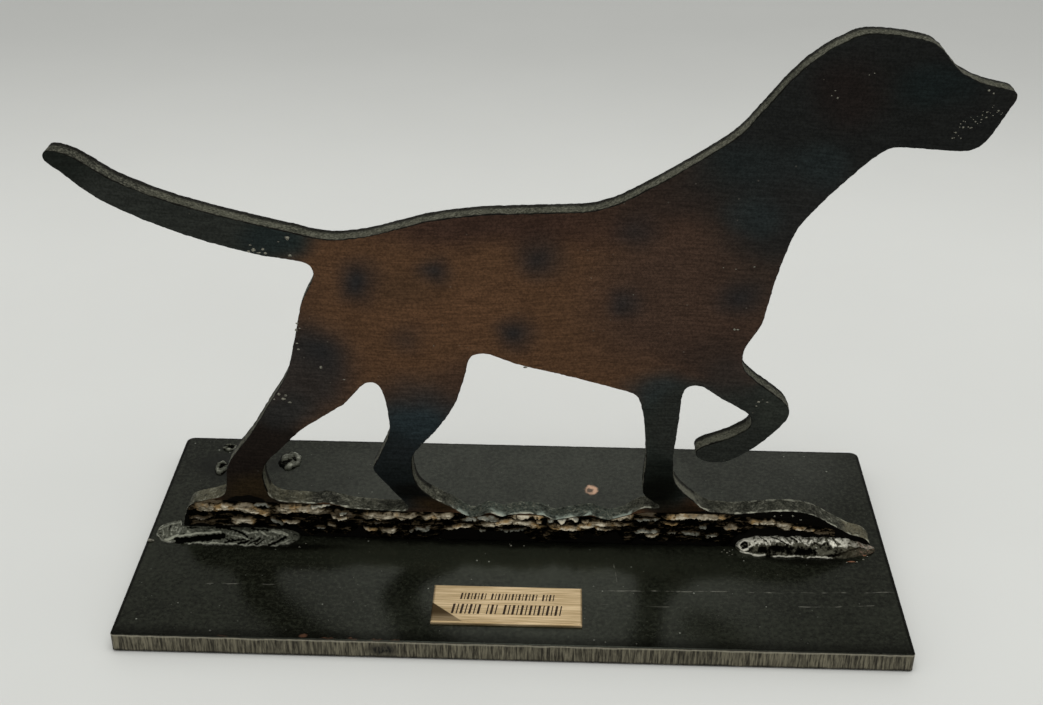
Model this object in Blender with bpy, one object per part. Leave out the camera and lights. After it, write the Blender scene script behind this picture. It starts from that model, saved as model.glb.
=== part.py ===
"""Walking hound cut from steel plate, welded upright on a flat steel base with a brass nameplate.

Metres, +Z up. The origin is the centre of the base's underside, +X runs from tail to nose, and -Y is the
side that the nameplate faces.
"""

import math

import bmesh
import bpy
from mathutils import Vector

# Base plate
BASE_LENGTH = 0.2286
BASE_DEPTH = 0.1016
BASE_THICKNESS = 0.00635
BASE_CORNER_RADIUS = 0.0028
BASE_RIM_ROUND = 0.0004

# Hound and ground strip, one piece of plate
DOG_LENGTH = 0.2588
DOG_THICKNESS = 0.00635
DOG_ARRIS = 0.0003
CURVE_SAG = 0.00004

# Air between pieces that rest on or against each other
FIT_GAP = 0.0003

# Fillet welds along the front foot of the ground strip, each measured from its end of the strip
LEFT_WELD_LENGTH = 0.0450
LEFT_WELD_OVERRUN = 0.0085
LEFT_WELD_LEG = 0.0058
LEFT_WELD_RISE = 0.0030
LEFT_WELD_WRAP = 0.0048
RIGHT_WELD_LENGTH = 0.0430
RIGHT_WELD_OVERRUN = 0.0018
RIGHT_WELD_LEG = 0.0050
RIGHT_WELD_RISE = 0.0046
RIGHT_WELD_WRAP = 0.0030
FILLET_RIPPLE = 0.00045
FILLET_RIPPLE_PITCH = 0.0036
FILLET_STATION_PITCH = 0.0012
WRAP_STEP = 0.00005

# Layered weld runs on the strip's front face
GROUND_WELD_FLOOR = 0.0005
GROUND_WELD_BEAD_RISE = 0.0016
GROUND_WELD_BEAD_WIDTH = 0.0013
GROUND_WELD_COLUMN_PITCH = 0.0022
GROUND_WELD_ROWS = 9

# Tack and spatter lumps on the base behind the rear foot, placed from the base's back left corner
WELD_SPOTS = {
    "weld_spot_ring": {"from_corner": (0.0150, 0.0180), "size": (0.0052, 0.0084), "rise": 0.0013},
    "weld_spot_slot": {"from_corner": (0.0155, 0.0060), "size": (0.0070, 0.0042), "rise": 0.0009},
    "weld_spot_disc": {"from_corner": (0.0370, 0.0128), "size": (0.0090, 0.0118), "rise": 0.0014},
}
SPOT_SIDES = 18

# Nameplate
NAMEPLATE_LENGTH = 0.0437
NAMEPLATE_DEPTH = 0.0168
NAMEPLATE_THICKNESS = 0.0006
NAMEPLATE_CHAMFER = 0.0003
NAMEPLATE_FRONT_MARGIN = 0.0079
NAMEPLATE_OFFSET = -0.0015
STROKE_SINK = 0.00015
STROKE_SLANT = 0.2
# Share of a row's pitch that a stroke takes
STROKE_WIDE = 0.55
STROKE_NARROW = 0.3
# Rows of strokes: place in the plate's depth, height, pitch, and strokes in each group
STROKE_ROWS = [
    (0.0027, 0.0017, 0.00100, (8, 14, 4)),
    (-0.0023, 0.0027, 0.00125, (7, 3, 14)),
]

# Drawing of the hound in millimetres: x from the middle of the base, z above its top face
STRIP_LEFT_END = [(-103.5, 0), (-103.6, 3.5), (-101.6, 10), (-99.5, 12.2), (-91.5, 14.4), (-89.2, 16.3)]
REAR_LEG = [(-88.4, 23.5), (-86.8, 28), (-79.5, 38), (-74.5, 46.7), (-66.8, 60.2)]
RUMP = [(-61.8, 82.5), (-57.6, 91), (-57.9, 93.6), (-60, 95.4)]
TAIL_UNDERSIDE = [(-71, 97), (-94, 103.6), (-115.5, 113.6), (-125.5, 122), (-128.3, 124.2)]
TAIL_TIP = [(-129.2, 126), (-128.5, 127.4), (-126.5, 127.9)]
TAIL_TOP = [(-120, 125.8), (-112, 120.3), (-94, 112.8), (-63, 104.9)]
BACK = [(-53, 102.8), (-40, 104.5), (-26, 108.8), (-9, 111.4), (18, 112.7), (24, 114.1), (30, 116.8)]
NECK = [(56, 133.8), (60.5, 138.3), (73.5, 154.8)]
SKULL = [(84, 162.3), (88.5, 164), (105, 162.2), (108.6, 160), (113.5, 154.5)]
MUZZLE = [(121.5, 150.9), (128.6, 149.4), (129.6, 147.8), (127.5, 143.2), (123.6, 135.5), (121.2, 133.1)]
JAW = [(117.5, 132), (100.5, 133), (97, 131.9)]
CHEST = [(77.5, 110.4), (75, 104.6), (71.5, 90.5), (69.4, 78.3), (65.3, 70.9), (65.2, 64.8), (67, 62)]
RAISED_SHIN = [(80.1, 50.3), (77.8, 44.2), (63, 31.5)]
RAISED_PAW = [(55.3, 31.8), (53.2, 33.6), (53.8, 36), (61, 39.3)]
RAISED_ELBOW = [(68.4, 43.9), (68.9, 46.4), (67.8, 48.6), (59.5, 53.5), (53.8, 57.6), (51, 57.7), (49, 56.6)]
FORELEG_FRONT = [(48, 46), (48, 24), (54.5, 16.6), (59, 13.4)]
STRIP_RIGHT_END = [
    (63, 13.1), (67, 12.7), (79, 14.2), (85, 14.2), (91, 13), (103, 6), (107, 5), (109.5, 2.5), (110, 0),
]

BELLY = [(-14.9, 60), (-13.2, 66.1), (-8.5, 66.9), (-1, 63.9), (33, 55), (35.6, 52.8)]
FORELEG_BACK = [(38.7, 31), (38.1, 20.6), (39.2, 17.9), (44, 14.3)]
STRIP_MIDDLE = [
    (38.5, 14.3), (34, 11), (28.8, 9), (23, 11.3), (11.5, 8.6), (8.8, 10.5), (0, 11), (-4.2, 9.5), (-8, 11.4),
    (-13.5, 8.7), (-19.5, 12.9),
]
FAR_HIND_FRONT = [(-23, 14.6), (-29.6, 19.6), (-31.4, 28), (-30.6, 32), (-24.5, 39.3), (-18, 49.8)]

THIGH = [(-38, 42), (-40.3, 55), (-42.8, 56.6), (-45, 55.7), (-50.5, 49), (-64, 39.6)]
REAR_LEG_FRONT = [(-71, 32), (-74.3, 28.8), (-76.5, 25), (-76.9, 21), (-74.5, 14.3)]
STRIP_REAR = [(-66, 13.1), (-61.5, 12.9), (-58.5, 13.6), (-51, 11.6), (-34.5, 10.9)]
FAR_HIND_HOCK = [(-33, 12), (-43.8, 25.6), (-42.6, 28.3), (-38.8, 37)]

OUTER_CONTOUR = (
    STRIP_LEFT_END + REAR_LEG + RUMP + TAIL_UNDERSIDE + TAIL_TIP + TAIL_TOP + BACK + NECK + SKULL + MUZZLE
    + JAW + CHEST + RAISED_SHIN + RAISED_PAW + RAISED_ELBOW + FORELEG_FRONT + STRIP_RIGHT_END
)
BELLY_GAP = BELLY + FORELEG_BACK + STRIP_MIDDLE + FAR_HIND_FRONT
HIND_LEG_GAP = THIGH + REAR_LEG_FRONT + STRIP_REAR + FAR_HIND_HOCK

# Crest of the layered weld, in the same drawing: it stays under the strip's own top edge
GROUND_CREST = [
    (-101.0, 8.6), (-97, 11.0), (-90, 12.6), (-76, 12.2), (-58, 11.4), (-46, 10.0), (-34, 9.6), (-24, 9.4),
    (-14, 7.9), (-4, 8.7), (2, 10.0), (12, 7.9), (22, 9.6), (30, 8.2), (38, 11.2), (48, 12.3), (66, 11.6),
    (80, 12.6), (90, 11.6), (97, 8.2),
]
# Weld runs of the layered face: start, end, height at each end, all in the drawing's millimetres
GROUND_RUNS = [
    (-101, -60, 9.6, 10.6), (-58, -18, 9.2, 8.0), (-6, 10, 8.4, 8.2), (18, 38, 8.4, 8.0),
    (44, 70, 10.8, 10.4), (69, 97, 10.4, 7.2), (-98, -84, 5.8, 5.4), (-80, -62, 6.2, 5.2),
    (-48, -20, 5.6, 5.4), (-16, 32, 6.2, 5.8), (40, 64, 7.4, 7.2), (-62, -52, 3.6, 3.2),
    (-46, -24, 3.0, 2.8), (6, 20, 2.9, 3.2), (34, 62, 4.0, 3.4),
]


def clear_scene():
    """Remove every object that the file opened with."""
    for old in list(bpy.data.objects):
        bpy.data.objects.remove(old, do_unlink=True)


def make_material(name, color, roughness, metallic):
    """A Principled material of one colour."""
    material = bpy.data.materials.new(name)
    material.use_nodes = True
    shader = material.node_tree.nodes["Principled BSDF"]
    shader.inputs["Base Color"].default_value = (*color, 1.0)
    shader.inputs["Roughness"].default_value = roughness
    shader.inputs["Metallic"].default_value = metallic
    return material


def finish_object(name, bm, material, smooth_angle=None):
    """Turn a bmesh into a named object, with its normals outward."""
    bmesh.ops.recalc_face_normals(bm, faces=bm.faces)
    mesh = bpy.data.meshes.new(name)
    bm.to_mesh(mesh)
    bm.free()
    mesh.materials.append(material)
    if smooth_angle is not None:
        mesh.shade_smooth()
        mesh.set_sharp_from_angle(angle=smooth_angle)
    made = bpy.data.objects.new(name, mesh)
    bpy.context.scene.collection.objects.link(made)
    return made


def spline_point(knots, times, at):
    """Point of a Catmull-Rom stretch between knots[1] and knots[2] at the parameter value."""

    def between(a, b, first, last):
        return a.lerp(b, (at - times[first]) / (times[last] - times[first]))

    near = [between(knots[i], knots[i + 1], i, i + 1) for i in range(3)]
    wide = [between(near[i], near[i + 1], i, i + 2) for i in range(2)]
    return between(wide[0], wide[1], 1, 2)


def smooth_run(drawing, scale, closed):
    """Curve through the drawing's knots, with more points where it bends so that no chord strays far."""
    knots = [Vector((x, z)) * scale for x, z in drawing]
    if closed:
        padded = [knots[-1], *knots, knots[0], knots[1]]
    else:
        padded = [knots[0] * 2 - knots[1], *knots, knots[-1] * 2 - knots[-2]]
    points = []
    for i in range(len(padded) - 3):
        near = padded[i : i + 4]
        times = [0.0]
        for a, b in zip(near, near[1:]):
            times.append(times[-1] + math.sqrt((b - a).length))
        start_way = near[2] - near[0]
        end_way = near[3] - near[1]
        turn = abs(start_way.angle_signed(end_way))
        pieces = max(1, math.ceil(math.sqrt((near[2] - near[1]).length * turn / (8 * CURVE_SAG))))
        for step in range(pieces):
            points.append(spline_point(near, times, times[1] + (times[2] - times[1]) * step / pieces))
    if not closed:
        points.append(knots[-1])
    return points


def signed_area(loop):
    """Area inside a loop, positive when it runs anticlockwise."""
    return 0.5 * sum(a.x * b.y - b.x * a.y for a, b in zip(loop, loop[1:] + loop[:1]))


def moved_left(loop, distance):
    """The loop with each point moved to the left of the way it runs."""
    moved = []
    for before, here, after in zip(loop[-1:] + loop[:-1], loop, loop[1:] + loop[:1]):
        way = ((here - before).normalized() + (after - here).normalized()).normalized()
        moved.append(here + Vector((-way.y, way.x)) * distance)
    return moved


def drawing_scale():
    """Metres for each millimetre of the drawing, so that tail tip to nose is DOG_LENGTH."""
    curve = smooth_run(OUTER_CONTOUR, 0.001, closed=False)
    drawn_length = max(p.x for p in curve) - min(p.x for p in curve)
    return 0.001 * DOG_LENGTH / drawn_length


def dog_outlines(scale):
    """The outer contour and the two enclosed gaps, each with the metal on its left."""
    outlines = []
    for drawing, closed in ((OUTER_CONTOUR, False), (BELLY_GAP, True), (HIND_LEG_GAP, True)):
        loop = [Vector((p.x, max(p.y, FIT_GAP))) for p in smooth_run(drawing, scale, closed)]
        anticlockwise = signed_area(loop) > 0
        is_outer = not closed
        outlines.append(loop if anticlockwise == is_outer else loop[::-1])
    return outlines


def add_loop(bm, loop, y):
    """Add a closed loop of edges at one depth, standing on the base's top face."""
    verts = [bm.verts.new((p.x, y, BASE_THICKNESS + p.y)) for p in loop]
    return [bm.edges.new((a, b)) for a, b in zip(verts, verts[1:] + verts[:1])]


def make_dog_plate(outlines, material):
    """Plate of DOG_THICKNESS with the hound's outline, both gaps, and a small chamfer along every edge."""
    half = DOG_THICKNESS / 2
    bm = bmesh.new()
    front_rim = []
    back_rim = []
    for loop in outlines:
        inner = moved_left(loop, DOG_ARRIS)
        front = add_loop(bm, inner, -half)
        front_wall = add_loop(bm, loop, -half + DOG_ARRIS)
        back_wall = add_loop(bm, loop, half - DOG_ARRIS)
        back = add_loop(bm, inner, half)
        for first, second in ((front, front_wall), (front_wall, back_wall), (back_wall, back)):
            for a, b in zip(first, second):
                bm.faces.new((a.verts[0], a.verts[1], b.verts[1], b.verts[0]))
        front_rim += front
        back_rim += back
    for rim in (front_rim, back_rim):
        bmesh.ops.triangle_fill(bm, use_beauty=True, use_dissolve=False, edges=rim)
    return finish_object("dog_plate", bm, material, smooth_angle=math.radians(30))


def make_base_plate(material):
    """Flat plate with rounded corners and a small round along its rims."""
    bm = bmesh.new()
    bmesh.ops.create_cube(bm, size=1.0)
    bmesh.ops.scale(bm, vec=(BASE_LENGTH, BASE_DEPTH, BASE_THICKNESS), verts=bm.verts)
    bmesh.ops.translate(bm, vec=(0, 0, BASE_THICKNESS / 2), verts=bm.verts)
    upright = [e for e in bm.edges if abs(e.verts[0].co.z - e.verts[1].co.z) > BASE_THICKNESS / 2]
    bmesh.ops.bevel(
        bm, geom=upright, offset=BASE_CORNER_RADIUS, offset_type="OFFSET", segments=6, profile=0.5,
        affect="EDGES", material=-1,
    )
    rims = [e for e in bm.edges if abs(e.verts[0].co.z - e.verts[1].co.z) < BASE_THICKNESS / 2]
    bmesh.ops.bevel(
        bm, geom=rims, offset=BASE_RIM_ROUND, offset_type="OFFSET", segments=2, profile=0.5, affect="EDGES",
        material=-1,
    )
    return finish_object("base_plate", bm, material, smooth_angle=math.radians(40))


def fillet_section(leg, rise, back, bulge):
    """Cross-section of a fillet in y and z: from its back foot along the base, then up over the bead."""
    points = [Vector((back, 0.0))]
    steps = 6
    for i in range(steps + 1):
        angle = math.pi / 2 * i / steps
        straight = Vector((-leg * (1 - i / steps), rise * i / steps))
        rounded = Vector((-leg * math.cos(angle), rise * math.sin(angle)))
        points.append(straight.lerp(rounded, bulge))
    return points


def fillet_stations(x_start, x_end, strip_end, wrap):
    """Places along a fillet, each with how far back its foot reaches: by wrap past the strip's end."""
    outward = math.copysign(1.0, strip_end - (x_start + x_end) / 2)
    corner = strip_end + outward * FIT_GAP
    count = max(8, round((x_end - x_start) / FILLET_STATION_PITCH))
    stations = [(corner, wrap), (corner - outward * WRAP_STEP, 0.0)]
    for i in range(count + 1):
        x = x_start + (x_end - x_start) * i / count
        if abs(x - corner) > FILLET_STATION_PITCH / 3:
            stations.append((x, wrap if outward * (x - corner) > 0 else 0.0))
    return sorted(stations)


def make_fillet(name, x_start, x_end, strip_end, leg, rise, wrap, material):
    """Rippled fillet bead along the front foot of the strip, tapered at its ends, round the strip's end."""
    front = -DOG_THICKNESS / 2 - FIT_GAP
    floor = BASE_THICKNESS + FIT_GAP
    bm = bmesh.new()
    rings = []
    for x, back in fillet_stations(x_start, x_end, strip_end, wrap):
        share = (x - x_start) / (x_end - x_start)
        swell = math.sqrt(max(0.0, 1 - abs(2 * share - 1) ** 5)) * 0.8 + 0.2
        wave = FILLET_RIPPLE * abs(math.sin(math.pi * x / FILLET_RIPPLE_PITCH))
        section = fillet_section((leg - wave) * swell, (rise - wave) * swell, back * swell, bulge=0.55)
        rings.append([bm.verts.new((x, front + p.x, floor + p.y)) for p in section])
    for ring, after in zip(rings, rings[1:]):
        for j in range(len(ring)):
            k = (j + 1) % len(ring)
            bm.faces.new((ring[j], ring[k], after[k], after[j]))
    bm.faces.new(rings[0])
    bm.faces.new(rings[-1])
    return finish_object(name, bm, material, smooth_angle=math.radians(50))


def value_along(pairs, at):
    """Straight-line reading of a list of places and values, held level past its ends."""
    if at <= pairs[0][0]:
        return pairs[0][1]
    for (x0, v0), (x1, v1) in zip(pairs, pairs[1:]):
        if at <= x1:
            return v0 + (v1 - v0) * (at - x0) / (x1 - x0)
    return pairs[-1][1]


def bead_height(x, z, scale):
    """How far the layered weld stands out at a place of the strip's face."""
    height = GROUND_WELD_FLOOR
    for start, end, z_start, z_end in GROUND_RUNS:
        share = (x / scale - start) / (end - start)
        if 0 < share < 1:
            wander = 0.0004 * math.sin(x * 900 + z_start) + 0.0003 * math.sin(x * 2300 + z_end)
            middle = (z_start + (z_end - z_start) * share) * scale + wander
            across = max(0.0, 1 - ((z - middle) / GROUND_WELD_BEAD_WIDTH) ** 2)
            along = min(1.0, 6 * share, 6 * (1 - share))
            height = max(height, GROUND_WELD_FLOOR + GROUND_WELD_BEAD_RISE * math.sqrt(across) * along)
    return height


def make_ground_weld(scale, fillet_tops, material):
    """Layered weld runs on the strip's face, from just above the base or a fillet up to the crest."""
    face = -DOG_THICKNESS / 2 - FIT_GAP
    x_first = GROUND_CREST[0][0] * scale
    x_last = GROUND_CREST[-1][0] * scale
    columns = round((x_last - x_first) / GROUND_WELD_COLUMN_PITCH)
    bm = bmesh.new()
    front = []
    back = []
    for i in range(columns + 1):
        x = x_first + (x_last - x_first) * i / columns
        low = value_along(fillet_tops, x)
        high = value_along(GROUND_CREST, x / scale) * scale
        heights = [low + (high - low) * j / GROUND_WELD_ROWS for j in range(GROUND_WELD_ROWS + 1)]
        front.append(
            [bm.verts.new((x, face - bead_height(x, z, scale), BASE_THICKNESS + z)) for z in heights]
        )
        back.append([bm.verts.new((x, face, BASE_THICKNESS + z)) for z in (heights[0], heights[-1])])
    for i in range(columns):
        for j in range(GROUND_WELD_ROWS):
            bm.faces.new((front[i][j], front[i + 1][j], front[i + 1][j + 1], front[i][j + 1]))
        bm.faces.new((back[i][0], back[i][1], back[i + 1][1], back[i + 1][0]))
        bm.faces.new((back[i][0], back[i + 1][0], front[i + 1][0], front[i][0]))
        bm.faces.new((back[i][1], front[i][-1], front[i + 1][-1], back[i + 1][1]))
    bm.faces.new([back[0][0], *front[0], back[0][1]])
    bm.faces.new([back[-1][1], *reversed(front[-1]), back[-1][0]])
    return finish_object("ground_weld", bm, material, smooth_angle=math.radians(60))


def make_weld_spot(name, place, material):
    """Low lump of weld metal with a crater in it, resting on the base."""
    floor = BASE_THICKNESS + FIT_GAP
    centre_x = -BASE_LENGTH / 2 + place["from_corner"][0]
    centre_y = BASE_DEPTH / 2 - place["from_corner"][1]
    half_x = place["size"][0] / 2
    half_y = place["size"][1] / 2
    rings = ((1.0, 0.0), (0.94, 0.55), (0.72, 1.0), (0.45, 0.85), (0.25, 0.4))
    bm = bmesh.new()
    made = []
    for spread, rise in rings:
        ring = []
        for i in range(SPOT_SIDES):
            angle = 2 * math.pi * i / SPOT_SIDES
            uneven = 1 + 0.08 * math.sin(3 * angle + 1) if spread > 0.5 else 1.0
            x = centre_x + half_x * spread * uneven * math.cos(angle)
            y = centre_y + half_y * spread * uneven * math.sin(angle)
            ring.append(bm.verts.new((x, y, floor + place["rise"] * rise)))
        made.append(ring)
    for ring, after in zip(made, made[1:]):
        for i in range(SPOT_SIDES):
            k = (i + 1) % SPOT_SIDES
            bm.faces.new((ring[i], ring[k], after[k], after[i]))
    bm.faces.new(made[0])
    bm.faces.new(made[-1])
    return finish_object(name, bm, material, smooth_angle=math.radians(60))


def stroke_rows():
    """Two rows of plain slanted strokes in groups: place, width and height of each."""
    strokes = []
    for row_y, height, pitch, groups in STROKE_ROWS:
        places = []
        at = 0
        for group in groups:
            places += [at + i for i in range(group)]
            at += group + 1
        middle = (at - 2) / 2
        for i, place in enumerate(places):
            width = pitch * (STROKE_WIDE if i % 2 == 0 else STROKE_NARROW)
            strokes.append(((place - middle) * pitch, row_y, width, height))
    return strokes


def make_nameplate(material):
    """Thin plate with chamfered top edges and two rows of shallow strokes sunk in its face."""
    top = BASE_THICKNESS + FIT_GAP + NAMEPLATE_THICKNESS
    centre_y = -BASE_DEPTH / 2 + NAMEPLATE_FRONT_MARGIN + NAMEPLATE_DEPTH / 2
    centre = Vector((NAMEPLATE_OFFSET, centre_y, top - NAMEPLATE_THICKNESS / 2))
    bm = bmesh.new()
    bmesh.ops.create_cube(bm, size=1.0)
    bmesh.ops.scale(bm, vec=(NAMEPLATE_LENGTH, NAMEPLATE_DEPTH, NAMEPLATE_THICKNESS), verts=bm.verts)
    bmesh.ops.translate(bm, vec=centre, verts=bm.verts)
    rim = [e for e in bm.edges if all(v.co.z > centre.z for v in e.verts)]
    bmesh.ops.bevel(
        bm, geom=rim, offset=NAMEPLATE_CHAMFER, offset_type="OFFSET", segments=1, profile=0.5, affect="EDGES",
        material=-1,
    )
    plate = finish_object("nameplate", bm, material)

    cuts = bmesh.new()
    for x, y, width, height in stroke_rows():
        made = bmesh.ops.create_cube(cuts, size=1.0)["verts"]
        bmesh.ops.scale(cuts, vec=(width, height, 2 * STROKE_SINK), verts=made)
        for vert in made:
            vert.co.x += STROKE_SLANT * vert.co.y
        bmesh.ops.translate(cuts, vec=(centre.x + x, centre.y + y, top), verts=made)
    cutter = finish_object("nameplate_strokes", cuts, material)
    cutter.hide_render = True
    cutter.display_type = "WIRE"
    sink = plate.modifiers.new("strokes", "BOOLEAN")
    sink.operation = "DIFFERENCE"
    sink.solver = "EXACT"
    sink.object = cutter
    return plate


def main():
    """Build every piece of the sculpture."""
    clear_scene()
    patina = make_material("heat_patina", (0.085, 0.05, 0.03), 0.42, 0.9)
    mill_scale = make_material("mill_scale", (0.035, 0.035, 0.033), 0.38, 0.8)
    weld_metal = make_material("weld_metal", (0.24, 0.23, 0.21), 0.45, 0.9)
    scorched_weld = make_material("scorched_weld", (0.16, 0.11, 0.06), 0.5, 0.85)
    brass = make_material("brass", (0.72, 0.56, 0.33), 0.3, 1.0)

    scale = drawing_scale()
    make_base_plate(mill_scale)
    make_dog_plate(dog_outlines(scale), patina)

    strip_left = min(x for x, _ in STRIP_LEFT_END) * scale
    strip_right = max(x for x, _ in STRIP_RIGHT_END) * scale
    left_start = strip_left - LEFT_WELD_OVERRUN
    left_end = left_start + LEFT_WELD_LENGTH
    right_end = strip_right + RIGHT_WELD_OVERRUN
    right_start = right_end - RIGHT_WELD_LENGTH
    make_fillet(
        "weld_left", left_start, left_end, strip_left, LEFT_WELD_LEG, LEFT_WELD_RISE, LEFT_WELD_WRAP,
        weld_metal,
    )
    make_fillet(
        "weld_right", right_start, right_end, strip_right, RIGHT_WELD_LEG, RIGHT_WELD_RISE, RIGHT_WELD_WRAP,
        weld_metal,
    )

    clear_left = LEFT_WELD_RISE + 2 * FIT_GAP
    clear_right = RIGHT_WELD_RISE + 2 * FIT_GAP
    fillet_tops = [
        (left_end + FIT_GAP, clear_left),
        (left_end + 10 * FIT_GAP, FIT_GAP),
        (right_start - 10 * FIT_GAP, FIT_GAP),
        (right_start - FIT_GAP, clear_right),
    ]
    make_ground_weld(scale, fillet_tops, scorched_weld)

    for name, place in WELD_SPOTS.items():
        make_weld_spot(name, place, weld_metal)
    make_nameplate(brass)


main()
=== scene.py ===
"""Looks of a walking hound cut from steel plate, welded upright on a flat steel base with a brass nameplate.

Metres, +Z up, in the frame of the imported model: the origin is the centre of the base's underside, +X runs
from tail to nose and -Y is the side that the nameplate faces.
"""

import logging
import math
from collections.abc import Callable, Sequence
from dataclasses import dataclass
from enum import Enum

import bmesh
import bpy
from mathutils import Matrix, Vector, noise


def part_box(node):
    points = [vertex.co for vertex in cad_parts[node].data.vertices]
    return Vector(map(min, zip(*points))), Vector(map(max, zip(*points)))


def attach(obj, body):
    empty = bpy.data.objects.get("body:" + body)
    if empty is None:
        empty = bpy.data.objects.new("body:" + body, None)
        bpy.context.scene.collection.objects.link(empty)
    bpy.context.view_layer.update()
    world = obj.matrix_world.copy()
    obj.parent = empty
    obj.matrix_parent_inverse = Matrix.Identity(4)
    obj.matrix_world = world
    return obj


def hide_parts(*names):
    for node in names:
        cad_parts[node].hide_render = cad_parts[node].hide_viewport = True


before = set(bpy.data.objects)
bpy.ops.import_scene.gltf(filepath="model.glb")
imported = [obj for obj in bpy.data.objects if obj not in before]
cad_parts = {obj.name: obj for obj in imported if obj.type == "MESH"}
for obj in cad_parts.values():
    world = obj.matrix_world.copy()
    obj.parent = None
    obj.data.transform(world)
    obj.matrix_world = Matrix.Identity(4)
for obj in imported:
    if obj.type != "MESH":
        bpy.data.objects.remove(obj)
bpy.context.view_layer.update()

LOG = logging.getLogger("hound")
MM = 0.001
BODY = "root"
BASE_LOW, BASE_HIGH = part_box("base_plate")
BASE_TOP = BASE_HIGH.z
FACE_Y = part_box("dog_plate")[0].y
# Height above the base's top below which the plate's wall belongs to the ground strip
STRIP_HEIGHT = 0.0165
# Place along the base's front edge where the shear tore it
TEAR_X = -0.0365
# Share of full light on upright faces, weld beads and level tops, so that colours are given as they look
FACE_LIGHT = 0.75
BEAD_LIGHT = 0.95
TOP_LIGHT = 1.0

Socket = bpy.types.NodeSocket
Color = tuple[float, float, float]


def looks(red: int, green: int, blue: int, light: float = FACE_LIGHT) -> Color:
    """Base colour of a surface that looks this 8-bit colour under the scene's light.

    Args:
        red: Red as it looks, 0 to 255.
        green: Green as it looks.
        blue: Blue as it looks.
        light: Share of full light that reaches the surface.

    Returns:
        The linear base colour.
    """

    def linear(value: int) -> float:
        """One channel from its 8-bit value."""
        share = value / 255
        return share / 12.92 if share <= 0.04045 else ((share + 0.055) / 1.055) ** 2.4

    return tuple(min(1.0, linear(value) / light) for value in (red, green, blue))


def on_face(x: float, z: float) -> Vector:
    """Point of the hound's plane from millimetres right of the base's middle and above its top."""
    return Vector((x * MM, 0.0, BASE_TOP + z * MM))


def on_base(x: float, y: float) -> Vector:
    """Point of the base's top from millimetres right of and behind its middle."""
    return Vector((x * MM, y * MM, BASE_TOP))


def lumps(place: Vector, octaves: int) -> float:
    """Layered noise from about -1 to 1, with one cycle in a unit."""
    return noise.fractal(place, 1.0, 2.0, octaves)


def clamped(value: float) -> float:
    """The value held between 0 and 1."""
    return min(1.0, max(0.0, value))


def fractal(place: Vector, scale: float, octaves: int = 3, seed: float = 0.0) -> float:
    """Layered noise from about -1 to 1, at a scale.

    Args:
        place: Where it is read.
        scale: Cycles in a metre.
        octaves: How many layers it has.
        seed: Moves it to another stretch of noise.

    Returns:
        The value there.
    """
    return lumps(place * scale + Vector((seed, seed * 1.7, -seed)), octaves)


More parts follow.
